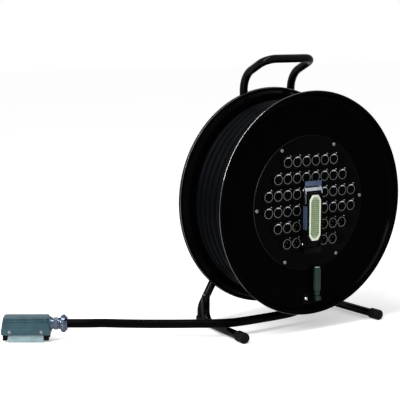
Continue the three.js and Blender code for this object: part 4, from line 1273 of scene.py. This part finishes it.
    def _brake(self, shop: Workshop) -> None:
        """Turns the brake's boss, screw and pad, and moulds its star knob."""
        drop = place(z=-self.brake_drop)
        bore, wide, back = self.brake_thread + FIT_GAP, self.boss_radius, self.seat + self.boss_length
        boss = [(bore, self.seat), (wide, self.seat), (wide, back), (bore, back)]
        shell = lathe(rounded(boss, {1: 0.8, 2: 0.8}, 2), 40).moved(drop)
        shop.add("threaded_boss", shell, Look.ZINC, Body.FRAME, Slot.STEEL, "brake_boss")
        shop.dress(Look.RUBBER, "brake_pad")
        start, end = self.brake_start, self.knob_front + self.knob_thickness / 2 - FIT_GAP
        thread = threaded(self.brake_thread, start + 0.75, end - 0.2, 1.4)
        screw = lathe([(0.0, start), (5.0, start), *thread, (5.2, end), (0.0, end)], 32).moved(drop)
        shop.add("threaded_screw", screw, Look.ZINC, Body.BRAKE_SCREW, Slot.STEEL, "brake_screw")
        front, back, wide = self.knob_front, self.knob_front + self.knob_thickness, self.knob_radius
        profile = [(bore, front), (10.5, front), (10.5, front + 2.0), (wide - 1.6, front + 2.2),
                   (wide, front + 4.0), (wide, back - 3.6), (wide - 1.4, back - 1.4),
                   (wide - 4.0, back - 0.4), (9.0, back - 0.4), (8.0, back - 1.4), (0.0, back - 1.0),
                   (0.0, front + 8.0), (bore, front + 8.0)]
        dip, count = self.lobe_depth, self.knob_lobes
        lobes = on_rows(range(3, 8), lambda angle: 1.0 - dip * (1 - math.cos(angle * count)))
        knob = lathe(profile, 80, lobes).moved(drop)
        shop.add("star_knob", knob, Look.POLYMER, Body.BRAKE_SCREW, Slot.POLYMER, "brake_knob", sharp=40.0)


# The drum


@dataclass
class Drum:
    """The two pressed flanges, the core, the hub and the winding."""

    radius: float = 255.0
    width: float = 170.0
    bead: float = 4.5
    sheet: float = 2.0
    dish: float = 20.3
    dish_radius: float = 240.0
    opening: float = 139.0
    rear_opening: float = 26.3
    # Where the painted highlight band lies on the front and on the rear bead, as shares of the bead's radius.
    front_highlight_band: Pair = (0.32, 0.62)
    back_highlight_band: Pair = (0.6, 0.8)
    facets: int = 160
    turns: float = 4.77
    turn_pitch: float = 20.6
    front_turn: float = 33.5
    first_angle: float = 113.6
    lower_radius: float = 206.5
    lower_turns: int = 6
    core_radius: float = 155.3
    hub_start: float = 78.0
    hub_radius: float = 26.0
    hub_bore: float = 18.0
    hub_flange: float = 55.0
    hub_sheet: float = 4.0
    rivets: int = 6
    rivet_circle: float = 43.0
    rivet_start: float = 0.4

    def build(self, shop: Workshop) -> None:
        """Builds every piece that turns with the drum, but for the panel.

        Args:
            shop: the workshop that makes and hangs the pieces.
        """
        front = self._flange(self.opening)
        rear = [(radius, self.width - y) for radius, y in self._flange(self.rear_opening)]
        for name, profile in (("front", front), ("rear", rear)):
            shell, node = lathe(profile, self.facets), f"{name}_flange"
            piece = shop.add(f"{name}_pressing", shell, Look.ENAMEL, Body.DRUM, Slot.PAINT, node, sharp=24.0)
            # Each rim gets a thin band in the RIM finish: a painted highlight along the bead.
            shop.trim(piece, Look.RIM, self._on_rim_highlight)
        self._winding(shop)
        self._hub(shop)
        shop.dress(Look.ENAMEL, "drum_core")

    def _on_rim_highlight(self, spot: Vector) -> bool:
        """Tells whether a place is on the thin line at either side of the rolled bead that is painted light
        grey and glossy: a painted highlight along the rim.
        """
        out = math.hypot(spot.x, spot.z) - self.radius + self.bead
        aside = min(abs(spot.y - self.bead), abs(spot.y - self.width + self.bead)) / self.bead
        low, high = self.front_highlight_band if spot.y < self.bead else self.back_highlight_band
        return out > 0.0 and low < aside < high

    def _flange(self, opening: float) -> list[Pair]:
        """Draws the dished sheet with its rim rolled into a bead."""
        centre, back = self.radius - self.bead, self.dish + self.sheet
        meet = math.asin((self.bead - self.sheet) / self.bead)
        profile = [(opening, self.dish), (self.dish_radius, self.dish)]
        profile += arc(self.bead, HALF - meet, HALF * 2.5, 24, (centre, self.bead))
        profile += [(centre - self.bead / 2, self.bead * 2),
                    (self.dish_radius + self.sheet, back - self.sheet / 2), (self.dish_radius, back),
                    (opening, back)]
        return rounded(profile, {1: 7.0, 2: 3.0}, 8)

    def _winding(self, shop: Workshop) -> None:
        """Winds the outer layer and lays the turns under it."""
        values = {
            "Turns": self.turns,
            "Turn Radius": TURN_RADIUS,
            "Cable Radius": CABLE_RADIUS,
            "Pitch": self.turn_pitch,
            "Step Overs": float(int(self.turns)),
            "Start Depth": self.front_turn + self.turn_pitch,
            "Start Angle": math.radians(self.first_angle),
            "Steps": 480,
        }
        first = values | {"Turns": 1.0, "Step Overs": 0.0, "Start Depth": self.front_turn, "Steps": 121}
        for name, given in (("rear_turns", values), ("front_turn", first)):
            shell = shop.grow(shop.turns, given)
            shop.add(f"wound_{name}", shell, Look.JACKET, Body.DRUM, Slot.JACKET, f"cable_{name}")
        start, end = self.dish + self.sheet + FIT_GAP, self.width - self.dish - self.sheet - FIT_GAP
        profile = [(self.core_radius, start)]
        for turn in range(self.lower_turns):
            centre = (start + end) / 2 + (turn - (self.lower_turns - 1) / 2) * self.turn_pitch
            for angle in map(math.radians, range(-60, 61, 20)):
                out, aside = CABLE_RADIUS * (math.cos(angle) - 1.0), self.turn_pitch / 2 * math.sin(angle)
                profile.append((self.lower_radius + out, centre + aside))
        shell = lathe([*profile, (self.core_radius, end)], 120)
        shop.add("wound_lower_layers", shell, Look.JACKET, Body.DRUM, Slot.JACKET, "cable_lower_layers")

    def _hub(self, shop: Workshop) -> None:
        """Turns the bearing hub with its bushes, and rivets it to the rear flange."""
        start, face = self.hub_start, self.width - self.dish + FIT_GAP
        bore, wide, out, back = self.hub_bore, self.hub_radius, self.hub_flange, face + self.hub_sheet
        profile = [(bore, start), (wide, start), (wide, face), (out, face), (out, back), (bore, back)]
        shell = lathe(rounded(profile, {3: 0.3, 4: 1.2}, 3), 72)
        shop.add("turned_hub", shell, Look.ZINC, Body.DRUM, Slot.STEEL, "bearing_hub")
        shop.dress(Look.POLYMER, "front_bush", "rear_bush")
        head = [(0.0, back - 0.1), (5.0, back - 0.1), (4.6, back + 1.3), (3.0, back + 2.2), (0.0, back + 2.5)]
        spots = on_circle(self.rivet_circle, self.rivets, self.rivet_start)
        shell = shop.repeat(lathe(head, 20), spots, turned=True)
        shop.add("hub_rivets", shell, Look.ZINC, Body.DRUM, Slot.STEEL)


# The panel and its sockets


@dataclass
class SocketPanel:
    """The round panel with its screws and forty chassis sockets."""

    radius: float = 154.0
    front: float = 17.0
    back: float = 20.0
    screws: int = 6
    screw_circle: float = 146.5
    screw_start: float = 2.5
    screw_head: float = 4.2
    screw_shank: float = 1.8
    pitch: float = 26.0
    row_pitch: float = 36.9
    middle_column: float = 4.5
    middle_row: float = 2.5
    raise_by: float = 4.5
    flange_width: float = 25.6
    flange_height: float = 31.0
    flange_front: float = 14.7
    flange_back: float = 16.7
    ring_radius: float = 11.2
    ring_front: float = 11.7
    bore: float = 9.6
    insert_radius: float = 8.2
    insert_depth: float = 8.0
    body_end: float = 34.7
    cup_floor: float = 24.7
    pin_count: int = 3
    pin_hole: float = 1.5
    pin_circle: float = 5.0
    pin_length: float = 8.0
    port_drop: float = 31.0
    port_size: Pair = (34.6, 104.6)
    # Each socket's two screws are one kind of screw: the top-right one is painted bright, a painted
    # highlight, and the bottom-left one black, a painted shade.
    painted_lit_screw: Pair = (9.4, 13.2)
    painted_shade_screw: Pair = (-9.5, -12.0)
    runs: tuple[tuple[tuple[int, int], ...], ...] = (
        ((2, 7),), ((1, 8),), ((0, 3), (6, 9)), ((0, 3), (6, 9)), ((1, 3), (6, 8)), ((2, 3), (6, 7)),
    )
    males: tuple[tuple[int, int], ...] = ((4, 3), (4, 6), (4, 7), (4, 8), (5, 2), (5, 3), (5, 6), (5, 7))

    def places(self, male: bool | None = None) -> list[Vector]:
        """Returns the centres of the sockets.

        Args:
            male: True for the cups with pins, False for the others, None for all.
        """
        found = []
        for row, runs in enumerate(self.runs):
            for column in (column for first, last in runs for column in range(first, last + 1)):
                if male is None or male == ((row, column) in self.males):
                    z = self.raise_by + (self.middle_row - row) * self.row_pitch
                    found.append(Vector(((column - self.middle_column) * self.pitch, 0.0, z)))
        return found

    def build(self, shop: Workshop) -> None:
        """Builds the panel, its screws and the sockets.

        Args:
            shop: the workshop that makes and hangs the pieces.
        """
        self._panel(shop)
        self._screws(shop)
        self._sockets(shop)

    def _panel(self, shop: Workshop) -> None:
        """Cuts the panel and its bare bevelled edge."""
        outlines = [round_outline(self.radius - 0.8, steps=160)]
        outlines += [round_outline(self.ring_radius + 1.2, (spot.x, spot.z), 28) for spot in self.places()]
        outlines.append(rounded_outline(*self.port_size, 1.5, 3, (0.0, -self.port_drop)))
        panel = cut_plate(outlines, self.front, self.back, 0.15)
        shop.add("socket_panel", panel, Look.PANEL, Body.DRUM, Slot.PAINT, "connection_panel")
        inner, edge, front, back = self.radius - 0.78, self.radius, self.front, self.back
        bevel = [(inner, front + 0.05), (edge - 0.1, front + 0.9), (edge, front + 1.1), (edge, back),
                 (inner, back)]
        shop.add("panel_edge", lathe(bevel, 160), Look.PANEL_EDGE, Body.DRUM, Slot.STEEL)

    def _screws(self, shop: Workshop) -> None:
        """Copies the panel screws round the rim."""
        seat, end, wide, shank = self.front - FIT_GAP, self.back - FIT_GAP, self.screw_head, self.screw_shank
        head = [(0.0, seat - 1.0), (1.9, seat - 1.0), (2.1, seat - 2.1), (2.9, seat - 2.05),
                (3.8, seat - 1.5), (wide, seat - 0.7), (wide, seat), (shank, seat), (shank, end), (0.0, end)]
        cross = on_rows((1, 2), lambda angle: 0.42 + 0.58 * abs(math.cos(angle * 2)) ** 6)
        spots = on_circle(self.screw_circle, self.screws, math.radians(self.screw_start))
        shell = shop.repeat(lathe(head, 32, cross), spots, turned=True)
        nodes = [f"panel_screw_{number + 1}" for number in range(self.screws)]
        shop.add("panel_screws", shell, Look.DULL_NICKEL, Body.DRUM, Slot.STEEL, *nodes, sharp=40.0)

    def _sockets(self, shop: Workshop) -> None:
        """Builds the sockets, one piece for each finish."""
        every, cups, holed = self.places(), self.places(True), self.places(False)
        ring, bore, tip, head = self.ring_radius, self.bore, self.ring_front, self.flange_front
        floor = tip + self.insert_depth
        outlines = [rounded_outline(self.flange_width, self.flange_height, 3.0, 4), round_outline(ring + 0.1)]
        plate = cut_plate(outlines, head, self.flange_back, 0.4)
        shell, cup = (
            lathe([(0.0, depth), (bore, depth), (bore, tip + 0.9), (bore + 0.5, tip + 0.5), (ring, tip + 0.5),
                   (ring, self.body_end), (0.0, self.body_end)], 32)
            for depth in (floor, self.cup_floor)
        )
        # The lip is a thin ring of pale metal round each socket's black mouth: a painted highlight along the
        # rim.
        lip = [(ring - 0.85, tip + 0.6), (ring - 0.85, tip + 0.15), (ring - 0.65, tip), (ring - 0.15, tip),
               (ring + 0.05, tip + 0.2), (ring + 0.05, tip + 1.0), (ring - 0.2, tip + 1.0)]
        pins = round_outline(self.pin_circle, steps=self.pin_count, first=QUARTER)
        holes = [round_outline(self.pin_hole, spot, 12) for spot in pins]
        outlines = [round_outline(self.insert_radius, steps=28), *holes]
        insert = cut_plate(outlines, tip + FIT_GAP, floor + 0.2, 0.25)
        low, deep = self.cup_floor - self.pin_length, self.cup_floor + 1.0
        pin = [(0.0, low), (0.7, low + 0.1), (1.2, low + 0.8), (1.2, deep), (0.0, deep)]
        bow = QUARTER - 0.5, QUARTER + 0.5, 10
        tab = cut_plate([arc(11.9, *bow) + arc(9.5, *bow)[::-1]], 10.5, head + 0.2, 0.5)
        bolt = lathe([(0.0, head - 0.3), (0.7, head - 0.3), (0.9, head - 0.9), (1.3, head - 0.8),
                      (1.7, head - 0.2), (1.7, head + 0.4), (0.0, head + 0.4)], 16)
        in_cups = [spot + Vector((x, 0.0, -z)) for spot in cups for x, z in pins]
        # Same screw in two finishes: bright at the top right as a painted highlight, black at the bottom left
        # as painted shade.
        bright, dark = (
            [spot + Vector((x, 0.0, z)) for spot in every] for x, z in (self.painted_lit_screw, self.painted_shade_screw)
        )
        for name, shape, spots, look, slot in (
            ("socket_flanges", plate, every, Look.CASTING, Slot.SOCKET),
            ("socket_shells", shell, holed, Look.CASTING, Slot.SOCKET),
            ("socket_cups", cup, cups, Look.CASTING, Slot.SOCKET),
            ("socket_lips", lathe(lip, 40), every, Look.DULL_NICKEL, Slot.STEEL),
            ("socket_inserts", insert, holed, Look.POLYMER, Slot.SOCKET),
            ("socket_pins", lathe(pin, 12), in_cups, Look.GOLD, Slot.STEEL),
            ("latch_tabs", tab, holed, Look.NICKEL, Slot.STEEL),
            ("socket_screws_bright", bolt, bright, Look.DULL_NICKEL, Slot.STEEL),
            ("socket_screws_dark", bolt, dark, Look.POLYMER, Slot.SOCKET),
        ):
            nodes = self._row_nodes() if name == "socket_flanges" else []
            shop.add(name, shop.repeat(shape, spots), look, Body.DRUM, slot, *nodes)

    def _row_nodes(self) -> list[str]:
        """Returns the CAD nodes of the socket rows, where a row with two runs has a node for each."""
        nodes = []
        for row, runs in enumerate(self.runs, 1):
            sides = ("",) if len(runs) == 1 else ("left_", "right_")
            nodes += [f"{side}socket_row_{row}" for side in sides]
        return nodes


@dataclass
class MultipinOutlet:
    """The multipin housing with its contact insert and its two levers."""

    drop: float = 31.0
    width: float = 43.0
    length: float = 114.0
    wall: float = 3.2
    base_width: float = 50.0
    base_length: float = 134.0
    base_front: float = 12.2
    base_back: float = 15.2
    base_screws: Pair = (20.0, 62.0)
    front: float = -4.8
    peg_depth: float = 3.7
    peg_radius: float = 2.4
    pivot_spacing: float = 72.0
    cover_size: Pair = (15.0, 54.0)
    insert_width: float = 34.0
    insert_length: float = 104.0
    insert_front: float = -6.3
    insert_back: float = 36.0
    block_inset: float = 1.8
    block_cut: float = 11.0
    field_depth: float = 1.2
    contacts: tuple[int, int] = (6, 18)
    contact_field: Pair = (18.5, 78.0)
    lever_sheet: float = 1.8
    arm_width: float = 9.0
    plate_start: float = 24.0
    reach: float = 48.0
    seat: float = 12.0
    tip_bend: float = 5.3
    band: float = 7.5

    def build(self, shop: Workshop) -> None:
        """Builds the outlet and its levers.

        Args:
            shop: the workshop that makes and hangs the pieces.
        """
        self.inside = (self.width - self.wall * 2, self.length - self.wall * 2)
        self.block = (self.insert_width / 2 - self.block_inset, self.insert_length / 2)
        self._housing(shop)
        self._insert(shop)
        self._levers(shop)
        shop.dress(Look.RUBBER, "multipin_gasket")

    def _framed(self, width: float, height: float, corner: float, steps: int) -> list[Pair]:
        """Returns the outline of a rounded rectangle about the outlet's middle."""
        return rounded_outline(width, height, corner, steps, (0.0, -self.drop))

    def _chamfered(self, less: Pair, cut: float) -> list[Pair]:
        """Returns the outline of the contact block, drawn in by a little and with its corners cut off."""
        half, tall = self.block[0] - less[0], self.block[1] - less[1]
        aside = cut * 0.66
        corners = [(half, -tall + cut), (half, tall - cut), (half - aside, tall), (-half + aside, tall),
                   (-half, tall - cut), (-half, -tall + cut), (-half + aside, -tall), (half - aside, -tall)]
        return [(x, z - self.drop) for x, z in rounded(corners, {index: 1.5 for index in range(8)}, 2)]

    def _housing(self, shop: Workshop) -> None:
        """Casts the housing: base, walls, lip and pegs, with its side covers and base screws."""
        wide, long = self.inside
        window = self._framed(self.insert_width + 0.6, self.insert_length + 0.6, 1.5, 3)
        base, seat = self._framed(self.base_width, self.base_length, 6.0, 6), self.base_front
        shell = cut_plate([base, window], seat, self.base_back, 0.5)
        walls = [self._framed(self.width, self.length, 6.0, 6), self._framed(wide, long, 3.0, 4)]
        shell.add(cut_plate(walls, self.front, seat + 0.5, 0.8))
        opening = self._chamfered((-FIT_GAP, -FIT_GAP), self.block_cut)
        lip = [self._framed(wide + 0.8, long + 0.8, 3.4, 4), opening]
        shell.add(cut_plate(lip, self.front + 0.6, self.front + 2.6, 0.3))
        start, radius = self.width / 2 - 1.0, self.peg_radius
        tip = self.width / 2 + FIT_GAP + self.lever_sheet + radius / 2
        peg = [(0.0, start), (radius, start), (radius, tip - 0.5), (radius - 0.5, tip), (0.0, tip)]
        for side, end in CORNERS:
            spot = place(0.0, self.peg_depth, end * self.pivot_spacing / 2 - self.drop)
            shell.add(lathe(peg, 20).moved(spot @ spin("Z", -side * 90)))
        shop.add("housing_casting", shell, Look.CASTING, Body.DRUM, Slot.PORT, "multipin_housing")
        cover = rounded_outline(*self.cover_size, 1.5, 3, (3.6, -self.drop))
        covers = plates([cover], self.width / 2 - 0.3, 0.55, 0.12)
        shop.add("side_covers", covers, Look.PORT, Body.DRUM, Slot.PORT)
        bolt = [(0.0, seat - 0.6), (1.2, seat - 0.6), (1.3, seat - 2.0), (2.4, seat - 1.9), (3.0, seat - 1.0),
                (3.0, seat + 0.3), (0.0, seat + 0.3)]
        x, z = self.base_screws
        spots = [Vector((side * x, 0.0, end * z - self.drop)) for side, end in CORNERS]
        shop.add("base_screws", shop.repeat(lathe(bolt, 20), spots), Look.ZINC, Body.DRUM, Slot.STEEL)

    def _insert(self, shop: Workshop) -> None:
        """Moulds the pale contact block and fills it with contacts."""
        front, field_front = self.insert_front, self.insert_front + self.field_depth
        rim = self._chamfered((0.0, 0.0), self.block_cut)
        shell = cut_plate([rim, self._chamfered((3.0, 5.5), 9.6)], front, front + 3.2, 0.5)
        shell.add(cut_plate([rim], front + 3.0, self.insert_back, 0.4))
        foot = self._framed(*(size - FIT_GAP * 2 for size in self.inside), 3.0, 3)
        shell.add(cut_plate([foot], self.base_front - 2.7, self.base_front - FIT_GAP, 0.3))
        shop.add("contact_block", shell, Look.RESIN, Body.DRUM, Slot.INSERT, "multipin_insert")
        field_plate = cut_plate([self._chamfered((3.3, 5.8), 9.5)], field_front, front + 3.1, 0.2)
        shop.add("contact_field", field_plate, Look.CONTACT_FIELD, Body.DRUM, Slot.INSERT)
        ring = [(0.0, field_front + 0.5), (0.7, field_front + 0.4), (0.8, field_front - 0.35),
                (1.3, field_front - 0.35), (1.45, field_front + 0.3), (0.0, field_front + 0.6)]
        columns, rows = (
            [(step / (count - 1) - 0.5) * size for step in range(count)]
            for count, size in zip(self.contacts, self.contact_field)
        )
        spots = [Vector((x, 0.0, z - self.drop)) for x, z in product(columns, rows)]
        shop.add("contacts", shop.repeat(lathe(ring, 10), spots), Look.CONTACT, Body.DRUM, Slot.INSERT)

    def _levers(self, shop: Workshop) -> None:
        """Hangs a lever at either end. Both are the same bright lever: the top one carries a blue band across
        its tip, a painted reflection, and the bottom one is painted near black, a painted shade.
        """
        for name, body, side in (("top", Body.TOP_LEVER, 1), ("bottom", Body.BOTTOM_LEVER, -1)):
            spot = place(0.0, self.peg_depth, side * self.pivot_spacing / 2 - self.drop)
            shell = self._lever().moved(spot @ spin("Y", 90 - side * 90))
            # The bottom lever is painted near black as painted shade; the top one stays bright.
            look = Look.LEVER if side > 0 else Look.LEVER_PAINTED_SHADE
            node = f"{name}_locking_lever"
            lever = shop.add(f"{name}_lever_pressing", shell, look, body, Slot.CHROME, node)
            if side > 0:
                tip = self.pivot_spacing / 2 - self.drop + self.reach - self.seat
                # The tip of the top lever is tinted blue: a painted reflection.
                shop.trim(lever, Look.CHROME, lambda middle: middle.z > tip)

    def _lever(self) -> Shell:
        """Presses a lever about its pivot: two arms and a bent plate between them."""
        half, sheet, inner = self.arm_width / 2, self.lever_sheet, self.width / 2 + FIT_GAP
        low, step, high = self.plate_start, self.plate_start + self.band, self.reach - self.seat
        arm = [*arc(half, HALF, math.tau, 12), (half, high), (half - sheet, high), (-half * 0.55, low + 3.0),
               (-half * 0.95, low - 6.0)]
        shell = plates([arm, round_outline(self.peg_radius + FIT_GAP, steps=20)], inner, sheet)
        ahead = half - self.tip_bend
        plate = [(half - sheet, low), (half, low), (half, step + 0.7), (ahead + sheet, high + 0.6),
                 (ahead + sheet, self.reach), (ahead, self.reach - 0.8), (ahead, high), (half - sheet, step)]
        return shell.add(cut_plate([plate], -inner - sheet, inner + sheet, 0.35).moved(ACROSS))


@dataclass
class Crank:
    """The folding crank in the front flange's dish."""

    across: float = 18.5
    depth: float = 8.0
    drop: float = 222.0
    base_size: Pair = (46.0, 26.0)
    base_middle: Pair = (-10.0, 0.0)
    base_span: Pair = (9.5, 12.0)
    rivet_spot: float = -23.0
    rivet_radius: float = 2.3
    ear_radius: float = 6.5
    ear_sheet: float = 2.5
    pin_radius: float = 2.5
    pin_head: float = 4.0
    eye_radius: float = 6.2
    eye_width: float = 15.0
    rod_radius: float = 3.6
    rod_end: float = 70.5
    collar_radius: float = 6.2
    grip_radius: float = 8.4
    grip_start: float = 17.5
    grip_length: float = 53.0
    cap_radius: float = 6.4

    def build(self, shop: Workshop) -> None:
        """Builds the bracket, the rivet, the pin, the arm, the grip and the end cap.

        Args:
            shop: the workshop that makes and hangs the pieces.
        """
        self.spot = place(self.across, self.depth, -self.drop)
        self.upright = self.spot @ spin("X", 90)
        self._bracket(shop)
        self._arm(shop)
        self._grip(shop)

    def _bracket(self, shop: Workshop) -> None:
        """Presses the bracket with its two ears, and sets its rivet and its hinge pin."""
        hole = round_outline(self.rivet_radius + FIT_GAP, (self.rivet_spot, 0.0), 20)
        sheet = rounded_outline(*self.base_size, 3.0, 4, self.base_middle)
        base = cut_plate([sheet, hole], *self.base_span, 0.4)
        radius = self.ear_radius
        ear = [*arc(radius, QUARTER, QUARTER * 3, 14), (10.0, -radius), (10.0, radius)]
        outlines = [ear, round_outline(self.pin_radius + FIT_GAP, steps=20)]
        base.add(plates(outlines, self.eye_width / 2 + FIT_GAP, self.ear_sheet))
        radius, head, pin = self.rivet_radius, self.pin_head, self.pin_radius
        rivet = [(0.0, 6.2), (1.6, 6.35), (3.1, 7.0), (4.2, 8.2), (4.6, 9.2), (radius, 9.2), (radius, 11.7),
                 (0.0, 11.7)]
        pin = [(0.0, -12.0), (head - 0.6, -12.0), (head, -11.4), (head, -10.6), (pin, -10.6), (pin, 11.0),
               (pin - 0.5, 11.5), (0.0, 11.5)]
        at_rivet = self.spot @ place(self.rivet_spot)
        across = self.spot @ spin("Z", -90)
        for name, shell, look, node in (
            ("bracket_pressing", base.moved(self.spot), Look.CASTING, "crank_bracket"),
            ("rivet_turned", lathe(rivet, 28).moved(at_rivet), Look.NICKEL, "crank_rivet"),
            ("hinge_pin_turned", lathe(pin, 24).moved(across), Look.CASTING, "crank_hinge_pin"),
        ):
            shop.add(name, shell, look, Body.DRUM, Slot.STEEL, node)

    def _arm(self, shop: Workshop) -> None:
        """Turns the arm: an eye on the hinge pin, a collar and the spindle under the grip."""
        half, wide, collar, rod = self.eye_width / 2, self.eye_radius, self.collar_radius, self.rod_radius
        bore, end = self.pin_radius + FIT_GAP, self.rod_end
        eye = [(bore, -half), (wide - 0.6, -half), (wide, 0.6 - half), (wide, half - 0.6), (wide - 0.6, half),
               (bore, half)]
        stem = [(0.0, 3.2), (rod, 3.2), (4.4, 6.4), (5.4, 8.7), (collar, 9.3), (collar, 16.6),
                (collar - 0.6, 17.2), (rod, 17.2), (rod, end), (0.0, end)]
        shell = lathe(eye, 32).moved(self.spot @ spin("Z", -90)).add(lathe(stem, 32).moved(self.upright))
        shop.add("arm_turned", shell, Look.GRIP, Body.CRANK_ARM, Slot.STEEL, "crank_arm")

    def _grip(self, shop: Workshop) -> None:
        """Moulds the turning grip and the button that keeps it on the spindle."""
        bore, wide = self.rod_radius + FIT_GAP, self.grip_radius
        start, end = self.grip_start, self.grip_start + self.grip_length
        half = [(2.0, 0.0), (0.8, 0.8), (0.4, 2.4), (0.0, 8.0)]
        grip = [(bore, start), *((wide - less, start + along) for less, along in half),
                *((wide - less, end - along) for less, along in reversed(half)), (bore, end)]
        shell = lathe(grip, 40).moved(self.upright)
        shop.add("grip_moulding", shell, Look.GRIP, Body.CRANK_GRIP, Slot.GRIP, "crank_grip")
        low, wide = end + FIT_GAP, self.cap_radius
        cap = [(0.0, low), (wide - 0.2, low), (wide, low + 0.5), (wide, low + 1.8), (5.2, low + 2.8),
               (3.0, low + 3.2), (0.0, low + 3.2)]
        shell = lathe(cap, 32).moved(self.upright)
        button = shop.add("end_button", shell, Look.GRIP, Body.CRANK_ARM, Slot.INSERT, "crank_end_cap")
        # The top of the button is painted pale grey: a painted highlight on its end face.
        shop.trim(button, Look.SKIRT, lambda middle: middle.z > low + 2.0 - self.drop)


def main() -> None:
    """Builds the scene: the camera and the cable first, then the studio, the frame and the drum."""
    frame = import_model()
    shop = Workshop(frame["nodes"])
    PhotoCamera().build()
    FreeEnd().build(shop)
    Studio().build()
    for part in (TubeFrame(), Drum(), SocketPanel(), MultipinOutlet(), Crank()):
        part.build(shop)


if __name__ == "__main__":
    main()
